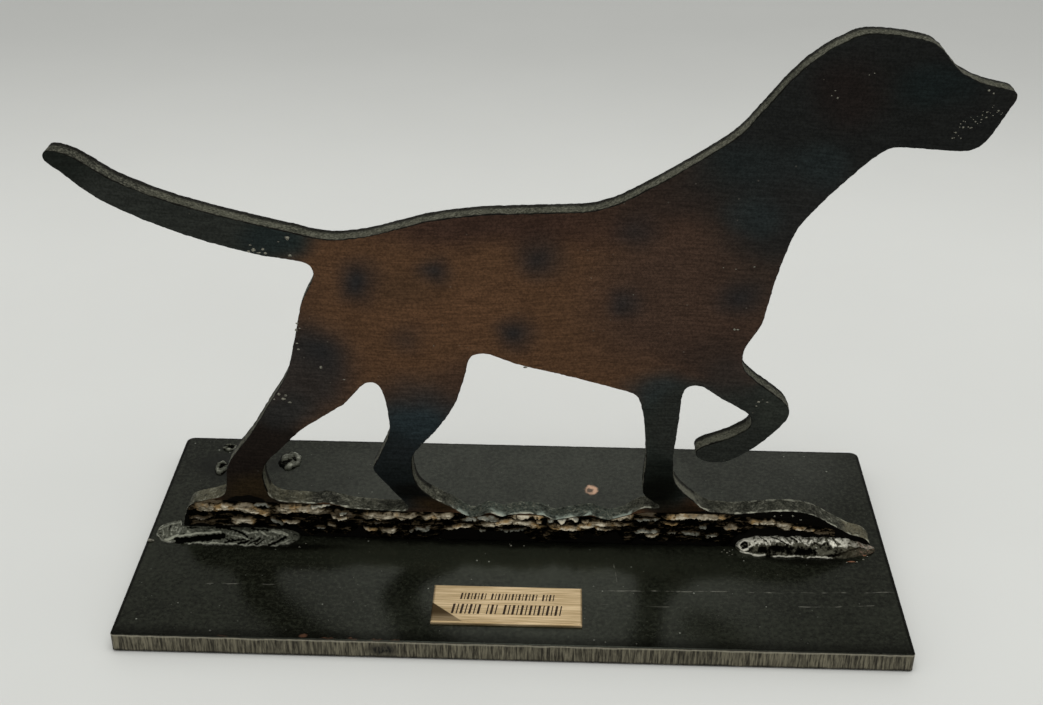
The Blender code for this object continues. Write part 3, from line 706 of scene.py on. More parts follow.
@dataclass(frozen=True)
class MillScale:
    """Black rolled scale of the base's top, with scratches, white specks, rust, welding scorch, and painted
    shade along its front edge.
    """

    black: Color = looks(15, 16, 11, TOP_LIGHT)
    worn: Color = looks(34, 36, 28, TOP_LIGHT)
    bare: Color = looks(108, 107, 98, TOP_LIGHT)
    rust: Color = looks(132, 92, 70, TOP_LIGHT)
    orange: Color = looks(204, 164, 136, TOP_LIGHT)
    soot_and_shade: Color = looks(6, 6, 4, TOP_LIGHT)
    speck: Color = looks(126, 128, 118, TOP_LIGHT)
    gloss_low: float = 0.085
    gloss_high: float = 0.30
    gloss_tint: Color = (0.92, 1.0, 0.78)
    scratches: tuple[tuple[float, float, float, float, float], ...] = (
        (20, -26.4, 60, -25.2, 0.34), (58, -25.2, 90, -24.6, 0.30), (88, -24.6, 114, -23.4, 0.24),
        (-92, -27.4, -71, -26.8, 0.26), (26, -32.4, 52, -33.0, 0.18), (84, -31.4, 106, -29.8, 0.22),
        (-14, -33.0, 12, -33.4, 0.16), (30, -12, 31, -22, 0.2),
    )
    rust_marks: tuple[tuple[float, float, float, float], ...] = (
        (-59, -49.4, 1.5, 1.2), (-52, -50.2, 2.6, 0.5), (-45, -50.1, 2.0, 0.6), (-38, -50.2, 2.2, 0.5),
        (-33, -50.3, 1.6, 0.5), (-82, -50.2, 2.0, 0.4), (103, -9.3, 1.8, 0.4), (107.4, -5.2, 1.0, 1.3),
    )
    rust_eye: tuple[float, float] = (23.7, 25.2)
    eye_pupil: tuple[float, float] = (23.2, 24.9)
    soot_marks: tuple[tuple[float, float, float, float], ...] = (
        (0, -3.5, 74, 3.8), (-70, -8.5, 26, 3.0), (88, -9, 26, 2.8), (-98, 34, 14, 12), (-79.6, 35, 6.4, 5.2),
    )
    # Fields of pale specks: scale, size, share of cells and share of colour
    speck_fields: tuple[tuple[float, float, float, float], ...] = (
        (230.0, 0.075, 0.55, 0.6), (620.0, 0.10, 0.35, 0.4),
    )

    def marks(self, surface: Surface, color: Socket) -> Socket:
        """Lay scorch, scratches and rust over the scale.

        Args:
            surface: The material being made.
            color: The scale's colour.

        Returns:
            The colour with the marks.
        """
        graph = surface.graph
        smoky = surface.warped(160.0, 0.004)
        for x, y, half_x, half_y in self.soot_marks:
            mark = surface.base_spot(smoky, (x, y), (half_x, half_y), 0.3, 0.02)
            color = graph.cover(color, self.soot_and_shade, mark, 0.85)
        ragged = surface.warped(140.0, 0.0016)
        for x0, y0, x1, y1, width in self.scratches:
            line = graph.group(
                EFFECTS.hairline, Vector=ragged, Start=on_base(x0, y0),
                Way=((x1 - x0) * MM, (y1 - y0) * MM, 0.0), Width=width * MM,
            ).outputs[0]
            color = graph.cover(color, self.bare, line, 0.75)
        crumbled = surface.warped(620.0, 0.0016)
        for x, y, half_x, half_y in self.rust_marks:
            mark = surface.base_spot(crumbled, (x, y), (half_x, half_y), 0.4, 0.01)
            color = graph.cover(color, self.rust, mark, 0.8)
        for x, y, half_x, half_y, shade in (
            (*self.rust_eye, 2.6, 3.1, self.orange), (*self.eye_pupil, 1.5, 1.9, self.soot_and_shade),
        ):
            ring = surface.base_spot(crumbled, (x, y), (half_x, half_y), 0.55, 0.01)
            color = graph.cover(color, shade, ring, 0.85)
        return color

    def build(self) -> bpy.types.Material:
        """Make the material."""
        surface = Surface("mill_scale", metallic=0.0, roughness=0.18)
        graph = surface.graph
        blotch = surface.mottle(22.0)
        fine = surface.noise(1500.0)
        color = graph.mix(graph.spread(blotch, 0.2, 1.0, 0.0, 0.4), self.black, self.worn)
        gritty = surface.noise(780.0, roughness=0.7)
        color = graph.cover(color, self.worn, graph.spread(gritty, 0.46, 0.66), 0.75)
        color = graph.mix(graph.spread(gritty, 0.32, 0.46, 0.6, 0.0), color, self.soot_and_shade)
        heated = surface.base_spot(surface.warped(90.0, 0.006), (-4, -12), (88, 11), 0.4)
        color = graph.cover(color, self.worn, heated, 0.65)
        color = self.marks(surface, color)
        for scale, size, share, level in self.speck_fields:
            color = graph.cover(color, self.speck, surface.specks(scale, size, share), level)
        side = graph.minus(BASE_HIGH.x, graph.math("ABSOLUTE", surface.axis("X")))
        end = graph.minus(BASE_HIGH.y, graph.math("ABSOLUTE", surface.axis("Y")))
        # A black line round the top's rim, and painted shade in a band along the front edge that fades out
        # over about 6 mm
        rim = graph.spread(graph.smaller(side, end), 0.0008, 0.0013, 0.9, 0.0)
        front = graph.spread(surface.axis("Y"), BASE_LOW.y + 0.0012, BASE_LOW.y + 0.006, 0.7, 0.0)
        rim_and_front_shade = graph.larger(rim, front)
        color = graph.mix(rim_and_front_shade, color, self.soot_and_shade)
        middle = surface.base_spot(surface.place, (2, 4), (116, 110), 0.25)
        far_right = surface.base_spot(surface.place, (78, 42), (50, 44), 0.3)
        shiny = graph.larger(middle, graph.times(far_right, 0.62))
        gloss = graph.spread(shiny, 0.0, 1.0, self.gloss_low, self.gloss_high)
        cloudy = graph.times(gloss, graph.spread(blotch, 0.0, 1.0, 0.85, 1.12))
        cloudy = graph.times(cloudy, graph.spread(gritty, 0.34, 0.66, 0.86, 1.14))
        dulled = graph.times(cloudy, graph.spread(rim_and_front_shade, 0.0, 1.0, 1.0, 0.45))
        surface.gloss(dulled)
        graph.feed(surface.shader.inputs["Specular Tint"], self.gloss_tint)
        surface.close(color, graph.spread(blotch, 0.0, 1.0, 0.15, 0.21), fine, 0.00002)
        return surface.material


@dataclass(frozen=True)
class ShearedEdge:
    """The base's cut side: grey brown, drawn downwards by the shear, brighter at the upper rim, with painted
    shadow at its foot.
    """

    grey: Color = looks(112, 107, 90)
    brown: Color = looks(31, 28, 20)
    bright: Color = looks(136, 132, 117)
    dark: Color = looks(12, 11, 8)
    gouge_half: tuple[float, float, float] = (0.0062, 0.01, 0.0030)

    def build(self) -> bpy.types.Material:
        """Make the material."""
        surface = Surface("sheared_edge", metallic=0.2, roughness=0.5, specular=0.2)
        graph = surface.graph
        drawn = graph.noise(graph.mapped(surface.place, (1500, 1500, 130)), 1.0, detail=3.0, roughness=0.7)
        blotch = surface.mottle(45.0)
        color = graph.mix(graph.spread(drawn, 0.34, 0.68), self.brown, self.grey)
        color = graph.cover(color, self.brown, blotch, 0.4)
        wave = graph.times(graph.minus(surface.noise(210.0), 0.5), 0.0012)
        height = graph.plus(surface.axis("Z"), wave)
        upper = graph.spread(height, BASE_TOP - 0.0011, BASE_TOP - 0.0005)
        color = graph.cover(color, self.bright, upper, 0.6)
        chipped = graph.plus(surface.axis("Z"), graph.times(wave, 0.35))
        rim = graph.spread(chipped, BASE_TOP - 0.00042, BASE_TOP - 0.00024)
        color = graph.cover(color, self.dark, rim, 0.85)
        # Painted contact shadow: darker at the foot, where the base meets the table
        foot = graph.spread(height, 0.0004, 0.0012, 1.0, 0.0)
        color = graph.cover(color, self.dark, foot, 0.85)
        gouge_place = (TEAR_X, BASE_LOW.y, self.gouge_half[2])
        gouge = surface.spot(surface.warped(260.0, 0.003), gouge_place, self.gouge_half, 0.3)
        color = graph.cover(color, self.dark, gouge, graph.spread(drawn, 0.42, 0.56))
        surface.close(color, 0.5, drawn, 0.0001)
        return surface.material


@dataclass(frozen=True)
class StrataWeld:
    """Layered weld on the strip: black painted shade in the crevices, tan, bone, brown or steel grey on the
    runs, and pale painted highlight on their highest crests.
    """

    # soot_and_shade is the black of the painted shade in the crevices, and pale is painted highlight on the
    # highest crests
    soot_and_shade: Color = looks(3, 3, 2)
    umber: Color = looks(51, 43, 30)
    gold: Color = looks(115, 93, 58)
    bone: Color = looks(100, 92, 75)
    pale: Color = looks(164, 157, 138)
    steel: Color = looks(84, 85, 77)

    def build(self) -> bpy.types.Material:
        """Make the material."""
        surface = Surface("strata_weld", metallic=0.0, roughness=0.5)
        graph = surface.graph
        streaked = graph.mapped(surface.place, (300, 900, 1500))
        fine = graph.noise(streaked, 1.0, detail=4.0, roughness=0.7)
        patchy = surface.noise(330.0)
        jitter = graph.plus(graph.times(fine, 1.2), graph.times(patchy, 0.7))
        height = graph.plus(surface.attribute("crest"), graph.minus(jitter, 0.95))
        tone = surface.attribute("tone")
        warm = graph.mix(graph.spread(surface.noise(210.0), 0.40, 0.56), self.gold, self.bone)
        body = graph.mix(graph.spread(tone, 0.0, 0.5), warm, self.umber)
        body = graph.mix(graph.spread(tone, 0.5, 1.0), body, self.steel)
        # The colour follows the height: painted shade, black in the crevices and brown on the low flanks,
        # then the run's own colour
        color = graph.mix(graph.spread(height, 0.26, 0.56), self.soot_and_shade, self.umber)
        color = graph.mix(graph.spread(height, 0.44, 0.92), color, body)
        # Painted highlight: pale on the highest crests
        color = graph.cover(color, self.pale, graph.spread(height, 0.86, 1.35), 0.9)
        surface.gloss(graph.spread(height, 0.4, 0.9, 0.0, 0.16))
        surface.close(color, graph.spread(fine, 0.3, 0.7, 0.6, 0.38), fine, 0.00018)
        return surface.material


class WeldTone(Enum):
    """How bright a weld bead is left."""

    BRIGHT = "bright"
    SOOTED = "sooted"


@dataclass(frozen=True)
class FilletWeld:
    """Bare weld bead: silvery ripples on one, grey-green and sooty on the others, both with painted shade in
    the grooves and painted highlight on the crests.
    """

    tone: WeldTone

    def build(self) -> bpy.types.Material:
        """Make the material."""
        bright = self.tone is WeldTone.BRIGHT
        surface = Surface(f"fillet_weld_{self.tone.value}", metallic=0.3 if bright else 0.15, roughness=0.45)
        graph = surface.graph
        # high is painted highlight on the crests, low is painted shade in the grooves, and middle is the
        # bead's own grey
        high = looks(188, 186, 172, BEAD_LIGHT) if bright else looks(124, 125, 111, BEAD_LIGHT)
        middle = looks(70, 69, 58, BEAD_LIGHT) if bright else looks(64, 65, 56, BEAD_LIGHT)
        low = looks(4, 4, 3, BEAD_LIGHT)
        fine = surface.noise(1300.0, detail=4.0, roughness=0.65)
        patchy = surface.noise(330.0)
        jitter = graph.plus(graph.times(fine, 1.1), graph.times(patchy, 1.2))
        height = graph.plus(surface.attribute("crest"), graph.minus(jitter, 1.15))
        # The colour follows the crest value: painted shade where it is low, painted highlight where it is
        # high
        color = graph.mix(graph.spread(height, 0.0, 0.30), low, middle)
        color = graph.mix(graph.spread(height, 0.46, 0.98), color, high)
        surface.gloss(graph.spread(height, 0.2, 0.8, 0.0, 0.22))
        # Painted shade along the toe, where the bead meets the base
        foot = graph.spread(surface.axis("Z"), BASE_TOP + 0.0001, BASE_TOP + 0.0003, 1.0, 0.0)
        color = graph.cover(color, low, foot, 0.6)
        if bright:
            tip = graph.spread(surface.axis("X"), 0.0975, 0.1045)
            color = graph.cover(color, looks(62, 58, 46, BEAD_LIGHT), tip, 0.7)
            rusty = graph.spread(surface.axis("X"), 0.1035, 0.1075)
            rusty = graph.times(rusty, graph.spread(fine, 0.48, 0.62))
            color = graph.cover(color, looks(132, 104, 90, BEAD_LIGHT), rusty, 0.5)
        surface.close(color, graph.spread(fine, 0.3, 0.7, 0.55, 0.32), fine, 0.00012)
        return surface.material


@dataclass(frozen=True)
class SatinBrass:
    """Brushed brass of the nameplate, with a painted dark reflection across one corner, darker along its
    border, and with blackened strokes.
    """

    brass: Color = looks(220, 196, 156, TOP_LIGHT)
    deep: Color = looks(170, 146, 106, TOP_LIGHT)
    dark_brass: Color = looks(64, 49, 25, TOP_LIGHT)
    corner_slope: float = 0.88
    corner_reach: float = 0.0086

    def build(self) -> bpy.types.Material:
        """Make the plate's material."""
        surface = Surface("satin_brass", metallic=0.5, roughness=0.35, specular=0.2)
        graph = surface.graph
        brushed = graph.noise(graph.mapped(surface.place, (90, 2600, 90)), 1.0, detail=2.0)
        color = graph.mix(graph.spread(brushed, 0.3, 0.7), self.deep, self.brass)
        # Painted reflection: a dark wedge with a sharp slanting edge across the front left corner
        low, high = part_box("nameplate")
        right = graph.minus(surface.axis("X"), low.x)
        up = graph.minus(surface.axis("Y"), low.y)
        slope = graph.plus(up, graph.times(right, self.corner_slope))
        corner = graph.spread(slope, self.corner_reach - 0.0002, self.corner_reach + 0.0002, 1.0, 0.0)
        corner = graph.times(corner, graph.spread(up, 0.0004, 0.0008))
        color = graph.cover(color, self.dark_brass, corner, graph.spread(up, 0.001, 0.0044, 0.6, 1.0))
        border = graph.smaller(right, graph.smaller(up, graph.minus(high.y - low.y, up)))
        border = graph.smaller(border, graph.minus(high.x - low.x, right))
        color = graph.mix(graph.spread(border, 0.0003, 0.0007, 0.35, 0.0), color, self.dark_brass)
        surface.close(color, graph.spread(brushed, 0.3, 0.7, 0.3, 0.42), brushed, 0.00001)
        return surface.material

    def build_ink(self) -> bpy.types.Material:
        """Make the blackening of the strokes."""
        surface = Surface("stroke_black", metallic=0.0, roughness=0.6, specular=0.2)
        graph = surface.graph
        fine = surface.noise(1800.0)
        surface.close(graph.mix(fine, looks(22, 14, 6), looks(48, 34, 18)), 0.6, fine, 0.00002)
        return surface.material


@dataclass(frozen=True)
class FleckMetal:
    """Pale grains of spatter."""

    pale: Color = looks(118, 116, 104)
    grey: Color = looks(62, 61, 54)

    def build(self) -> bpy.types.Material:
        """Make the material."""
        surface = Surface("fleck_metal", metallic=0.2, roughness=0.5, specular=0.2)
        graph = surface.graph
        fine = surface.noise(2200.0)
        surface.close(graph.mix(graph.spread(fine, 0.35, 0.6), self.grey, self.pale), 0.5, fine, 0.00005)
        return surface.material


def finish_piece(
    name: str,
    bm: bmesh.types.BMesh,
    materials: Sequence[bpy.types.Material],
    replaced: Sequence[str] = (),
    sharp_angle: float = 40.0,
    flat_material: int | None = None,
) -> bpy.types.Object:
    """Turn a bmesh into a piece that rides on the body.

    Args:
        name: The piece's name.
        bm: Its mesh, which is freed.
        materials: Its materials, in the order that its faces count them.
        replaced: The CAD nodes that it stands for.
        sharp_angle: Degrees past which an edge is drawn sharp.
        flat_material: Index of the material whose faces are shaded flat, if any.

    Returns:
        The object.
    """
    mesh = bpy.data.meshes.new(name)
    bm.to_mesh(mesh)
    bm.free()
    for material in materials:
        mesh.materials.append(material)
    mesh.shade_smooth()
    mesh.set_sharp_from_angle(angle=math.radians(sharp_angle))
    if flat_material is not None:
        for polygon in mesh.polygons:
            polygon.use_smooth = polygon.material_index != flat_material
    piece = bpy.data.objects.new(name, mesh)
    bpy.context.scene.collection.objects.link(piece)
    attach(piece, BODY)
    if replaced:
        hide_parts(*replaced)
    LOG.info("%s: %d faces", name, len(mesh.polygons))
    return piece


@dataclass(frozen=True)
class SkinPoint:
    """A point of a modelled skin with the two values that its finish reads; the weld finishes paint a low
    crest as shade and a high one as highlight.
    """

    place: Vector
    crest: float = 0.0
    tone: float = 0.0


def mapped_grid(columns: int, rows: int, skin: Callable[[float, float], SkinPoint]) -> bmesh.types.BMesh:
    """A grid with each point moved to where a function puts it, its meeting edges joined.

    Args:
        columns: Faces along u.
        rows: Faces along v.
        skin: Gives the point for u and v, both from 0 to 1.

    Returns:
        The mesh, still open where u or v ends apart.
    """
    bm = bmesh.new()
    crest = bm.verts.layers.float.new("crest")
    tone = bm.verts.layers.float.new("tone")
    bmesh.ops.create_grid(bm, x_segments=columns, y_segments=rows, size=0.5)
    for vert in bm.verts:
        u = clamped(vert.co.x + 0.5)
        v = clamped(vert.co.y + 0.5)
        point = skin(round(u * columns) / columns, round(v * rows) / rows)
        vert.co = point.place
        vert[crest] = point.crest
        vert[tone] = point.tone
    bmesh.ops.remove_doubles(bm, verts=bm.verts, dist=1e-7)
    return bm


def ease(value: float, low: float, high: float) -> float:
    """Smooth step from 0 at low to 1 at high, low and high in either order."""
    share = clamped((value - low) / (high - low))
    return share * share * (3 - 2 * share)


def line_reach(x: float, y: float, line: Sequence[tuple[float, float]]) -> tuple[float, float]:
    """How far a place is from a line of points, and how far along the line its nearest point is.

    Args:
        x: The place's first coordinate.
        y: Its second one.
        line: The line's points.

    Returns:
        The distance, and the share of the line's pieces that lies behind the nearest point.
    """
    best = (1e9, 0.0)
    pieces = len(line) - 1
    for i, ((x0, y0), (x1, y1)) in enumerate(zip(line, line[1:])):
        run_x, run_y = x1 - x0, y1 - y0
        share = ((x - x0) * run_x + (y - y0) * run_y) / max(1e-12, run_x * run_x + run_y * run_y)
        share = clamped(share)
        away = math.hypot(x - x0 - run_x * share, y - y0 - run_y * share)
        if away < best[0]:
            best = (away, (i + share) / pieces)
    return best


def close_mesh(bm: bmesh.types.BMesh) -> None:
    """Fill every open loop and turn all faces outward."""
    open_edges = [edge for edge in bm.edges if edge.is_boundary]
    bmesh.ops.holes_fill(bm, edges=open_edges, sides=0)
    bmesh.ops.recalc_face_normals(bm, faces=bm.faces)


@dataclass
class HoundPlate:
    """The hound and its ground strip, cut from one plate by torch."""

    outline_step: float = 0.0007
    depth_rows: int = 12
    arris: float = 0.00035
    wobble: float = 0.00007
    scars: float = 0.00016
    strip_scars: float = 0.00034
    scar_scale: float = 900.0
    smoothing: int = 5

    def rim_depths(self) -> list[float]:
        """The four depths at which the CAD plate has points, front to back."""
        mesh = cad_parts["dog_plate"].data
        return sorted({round(vert.co.y, 5) for vert in mesh.vertices})

    def outline(self) -> bmesh.types.BMesh:
        """The CAD plate's wall rim as closed loops of short edges at the front face."""
        bm = bmesh.new()
        bm.from_mesh(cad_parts["dog_plate"].data)
        bmesh.ops.remove_doubles(bm, verts=bm.verts, dist=1e-6)
        rim = self.rim_depths()[1]
        away = [vert for vert in bm.verts if abs(vert.co.y - rim) > 1e-5]
        bmesh.ops.delete(bm, geom=away, context="VERTS")
        bmesh.ops.delete(bm, geom=bm.faces[:], context="FACES_ONLY")
        for edge in bm.edges[:]:
            cuts = math.ceil(edge.calc_length() / self.outline_step) - 1
            if cuts > 0:
                bmesh.ops.subdivide_edges(bm, edges=[edge], cuts=cuts)
        for _ in range(self.smoothing):
            bmesh.ops.smooth_vert(
                bm, verts=bm.verts, factor=0.5, use_axis_x=True, use_axis_y=False, use_axis_z=True
            )
        for vert in bm.verts:
            vert.co.y = FACE_Y
            if vert.co.z < BASE_TOP + 0.0006:
                vert.co.z = BASE_TOP
        return bm

    def build(self, patina: bpy.types.Material, cut: bpy.types.Material) -> bpy.types.Object:
        """Make the plate.

        Args:
            patina: Finish of its two faces.
            cut: Finish of its wall.

        Returns:
            The piece.
        """
        bm = self.outline()
        rim = bm.edges[:]
        first_rim = rim
        depth = -2 * FACE_Y
        steps = [self.arris] + [(depth - 2 * self.arris) / self.depth_rows] * self.depth_rows + [self.arris]
        for step in steps:
            made = bmesh.ops.extrude_edge_only(bm, edges=rim)["geom"]
            fresh = [item for item in made if isinstance(item, bmesh.types.BMVert)]
            bmesh.ops.translate(bm, vec=(0, step, 0), verts=fresh)
            rim = [item for item in made if isinstance(item, bmesh.types.BMEdge)]
        wall = set(bm.faces)
        for face in wall:
            face.material_index = 1
        for edges in (first_rim, rim):
            bmesh.ops.triangle_fill(bm, use_beauty=True, use_dissolve=False, edges=edges)
        bmesh.ops.recalc_face_normals(bm, faces=bm.faces)
        self.roughen(bm, wall)
        return finish_piece("hound_plate", bm, (patina, cut), ("dog_plate",), 30.0, 0)

    def roughen(self, bm: bmesh.types.BMesh, wall: set[bmesh.types.BMFace]) -> None:
        """Round the arrises and scar the wall inward.

        Args:
            bm: The plate.
            wall: Its wall faces.
        """
        moves = {}
        for vert in bm.verts:
            out = Vector((0, 0, 0))
            for face in vert.link_faces:
                if face in wall:
                    out += face.normal
            out.y = 0
            out.normalize()
            at = vert.co
            flat = Vector((at.x, 0, at.z))
            sink = self.wobble * (1 + fractal(flat, 260.0, 2))
            inner = -FACE_Y - abs(at.y)
            if inner < self.arris / 2:
                sink += self.arris * (0.8 + 0.5 * fractal(flat, 700.0, 2, 5.0))
            else:
                across = Vector((at.x, at.y * 0.45, at.z))
                deep = self.scars if at.z > BASE_TOP + STRIP_HEIGHT else self.strip_scars
                sink += deep * max(0.0, 0.8 + fractal(across, self.scar_scale, 3, 9.0))
            moves[vert] = -out * max(0.0, sink)
        for vert, move in moves.items():
            vert.co += move
            vert.co.z = max(vert.co.z, BASE_TOP)


class RunTone(Enum):
    """Colour that a weld run cooled to, as the value that its finish reads."""

    GOLD = 0.0
    UMBER = 0.5
    STEEL = 1.0


@dataclass(frozen=True)
class WeldRun:
    """One run of weld: its middle line in millimetres, half width, rise and colour."""

    line: tuple[tuple[float, float], ...]
    half: float
    rise: float = 1.0
    tone: RunTone = RunTone.GOLD


@dataclass
class StrataFace:
    """Layered weld runs on the front face of the ground strip."""

    column_pitch: float = 0.0003
    rows: int = 60
    rise: float = 0.0018
    wander: float = 0.42
    crest: tuple[tuple[float, float], ...] = (
        (-101.6, 9.6), (-99, 12.0), (-94, 13.4), (-89, 13.2), (-84, 12.6), (-66, 12.6), (-57, 12.6),
        (-51, 11.1), (-45, 10.8), (-35, 10.5), (-20, 10.6), (-17, 10.3), (-14, 8.9), (-8, 10.0), (-4.5, 9.2),
        (-2, 10.3), (8.5, 10.3), (11.5, 8.6), (14, 9.0), (19, 10.2), (23, 10.4), (28.5, 9.0), (31, 10.0),
        (35, 11.4), (40, 12.4), (65, 12.3), (69, 11.5), (80, 11.2), (84, 9.9), (92, 8.7), (98, 7.5),
    )
    runs: tuple[WeldRun, ...] = (
        WeldRun(
            ((-101, 10.2), (-96, 11.0), (-90, 11.3), (-84, 11.2), (-80.5, 10.4), (-77, 9.6), (-74.8, 9.0)),
            1.5,
        ),
        WeldRun(((-99, 12.4), (-94, 13.0), (-89, 12.9)), 0.7, 0.6, RunTone.UMBER),
        WeldRun(((-81.2, 12.0), (-78, 12.2), (-75, 11.7)), 0.5, 0.75, RunTone.STEEL),
        WeldRun(((-74.8, 10.4), (-71, 11.0), (-66, 11.2), (-62, 10.9), (-57.5, 10.2)), 1.4),
        WeldRun(((-63.5, 11.9), (-60, 12.2), (-56.5, 12.7)), 0.4, 1.2, RunTone.STEEL),
        WeldRun(((-101, 6.9), (-97, 6.9), (-93.3, 7.6)), 0.5, 0.9, RunTone.UMBER),
        WeldRun(((-102, 4.6), (-99, 4.4), (-95, 4.7), (-92.5, 5.2)), 1.5, 0.55, RunTone.UMBER),
        WeldRun(((-88, 6.1), (-84, 6.4), (-80, 6.3)), 1.4, 1.0),
        WeldRun(((-92, 4.6), (-87, 4.0), (-81, 3.6)), 0.5, 0.5, RunTone.STEEL),
        WeldRun(((-75.8, 8.4), (-74.8, 6.6), (-73, 5.4), (-71.5, 4.6)), 0.6, 0.8, RunTone.STEEL),
        WeldRun(((-72.5, 6.9), (-70, 6.4), (-66.5, 6.0)), 0.55, 0.9),
        WeldRun(((-62, 4.1), (-58.5, 4.3)), 0.5, 0.7, RunTone.STEEL),
        WeldRun(((-58.5, 5.6), (-55, 5.2)), 0.6, 0.85),
        WeldRun(((-57.5, 9.0), (-55, 9.8), (-52, 9.0), (-48.8, 9.6)), 1.1, 0.75, RunTone.UMBER),
        WeldRun(((-57, 9.2), (-54.6, 8.3), (-50.5, 8.6)), 0.4, 1.1),
        WeldRun(((-54.4, 10.0), (-51.5, 10.2)), 0.35, 1.1, RunTone.STEEL),
        WeldRun(
            ((-48.5, 8.9), (-44.5, 9.2), (-41, 9.0), (-37.5, 9.6), (-35, 9.0), (-32.5, 9.4), (-29.8, 9.4)),
            1.0,
        ),
        WeldRun(((-50, 6.6), (-45, 6.3), (-38, 6.4)), 0.6, 0.45, RunTone.STEEL),
        WeldRun(((-47.5, 4.8), (-44, 4.0), (-42.5, 3.8)), 0.45, 0.85),
        WeldRun(((-42, 4.0), (-39.5, 3.8), (-36.5, 4.4)), 1.0),
        WeldRun(((-29.5, 9.2), (-26, 9.5), (-22, 9.6), (-18.5, 10.0)), 1.0),
        WeldRun(((-34, 6.4), (-27, 6.5), (-22, 6.9)), 0.6, 0.4, RunTone.UMBER),
        WeldRun(((-33, 3.9), (-31.5, 3.9)), 0.6, 0.9, RunTone.STEEL),
        WeldRun(((-31.5, 4.8), (-28.5, 4.6), (-26, 5.3)), 0.7, 0.85, RunTone.STEEL),
        WeldRun(((-23, 5.0), (-19, 5.7), (-16, 6.3), (-12.8, 6.3)), 0.65, 0.9),
        WeldRun(((-17.5, 8.2), (-14.5, 8.6), (-11, 9.2), (-7, 8.9), (-4.2, 8.3)), 0.9, 0.9, RunTone.STEEL),
        WeldRun(
            ((-12, 6.8), (-8.5, 7.1), (-5, 7.6), (-2.5, 8.3), (1, 8.3), (3.5, 7.9), (5.5, 7.0), (9.5, 6.4)),
            0.95, 1.1,
        ),
        WeldRun(((-2, 10.2), (1.5, 10.4), (5, 10.5), (8.8, 10.2)), 0.8, 1.0),
        WeldRun(((-6, 5.5), (-3, 5.1), (0.5, 5.3), (3.8, 6.0)), 0.45, 0.8, RunTone.STEEL),
        WeldRun(((-11.5, 4.9), (-9, 4.8)), 0.5, 0.8, RunTone.STEEL),
        WeldRun(((6.2, 8.3), (8, 8.4)), 0.8, 0.95),
        WeldRun(
            ((9.5, 7.0), (13, 6.6), (16, 6.4), (19, 6.8), (22, 7.7), (25, 8.2), (28, 8.1), (35.5, 7.8)),
            1.0, 1.1,
        ),
        WeldRun(((24, 7.3), (27, 6.3), (30.2, 6.0)), 0.5, 0.95),
        WeldRun(((9.5, 9.0), (12, 8.7)), 0.7, 0.8, RunTone.STEEL),
        WeldRun(((12.5, 8.8), (15.5, 9.1)), 0.5, 1.0, RunTone.STEEL),
        WeldRun(((16, 9.5), (19.5, 9.7)), 0.6, 1.0, RunTone.STEEL),
        WeldRun(((20, 8.9), (22.5, 9.2)), 0.5, 0.9),
        WeldRun(((28.5, 9.9), (31, 10.3), (34, 10.9), (36.2, 11.0)), 0.75, 1.0),
        WeldRun(((36.5, 12.0), (39.5, 12.2), (43.5, 12.0)), 0.8, 0.7, RunTone.UMBER),
        WeldRun(((36, 10.2), (40, 10.3), (44, 10.2)), 0.35, 0.9, RunTone.STEEL),
        WeldRun(((44.5, 11.0), (49, 11.5), (54, 11.9), (59, 11.7), (65.5, 11.7)), 0.95),
        WeldRun(((45, 9.0), (47.5, 9.1), (50, 8.8)), 0.6, 0.85),
        WeldRun(((56, 7.8), (58.6, 7.9)), 0.7, 0.85, RunTone.STEEL),
        WeldRun(((63.5, 7.8), (66, 8.3), (68.2, 7.9)), 0.7, 0.9),
        WeldRun(((36.2, 5.6), (40, 5.9), (44, 5.6)), 0.65, 0.95, RunTone.STEEL),
        WeldRun(((39.5, 4.6), (42, 4.4), (44.3, 5.0)), 0.55, 1.0),
        WeldRun(((46.5, 5.3), (49.5, 5.2)), 0.45, 0.7, RunTone.STEEL),
        WeldRun(((50.5, 5.6), (54, 5.6), (57, 5.2)), 0.65, 0.9, RunTone.STEEL),
        WeldRun(((58, 4.7), (60.5, 4.9), (62.5, 5.6)), 0.6, 0.9, RunTone.STEEL),
        WeldRun(((71, 10.4), (74, 10.4), (77.5, 10.5), (79.8, 10.1)), 0.75),
        WeldRun(((79.2, 10.2), (81, 9.5), (82.6, 8.8), (84.5, 8.6)), 0.95, 1.05),
        WeldRun(((84, 8.5), (87, 8.4), (89.5, 8.0), (92, 7.6)), 0.65, 0.95),
        WeldRun(((90.5, 7.2), (94, 6.8), (98, 6.4)), 0.8, 0.6, RunTone.UMBER),
        WeldRun(((74.5, 7.0), (77, 6.8)), 0.4, 0.75, RunTone.STEEL),
        WeldRun(((70, 8.3), (73, 8.0), (77, 8.4)), 0.5, 0.5, RunTone.UMBER),
    )

    def foot_edge(self) -> list[tuple[float, float]]:
        """The CAD relief's foot: place along the strip and height above the frame's floor."""
        foot: dict[float, float] = {}
        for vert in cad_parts["ground_weld"].data.vertices:
            key = round(vert.co.x, 5)
            foot[key] = min(foot.get(key, 1.0), vert.co.z)
        return sorted(foot.items())

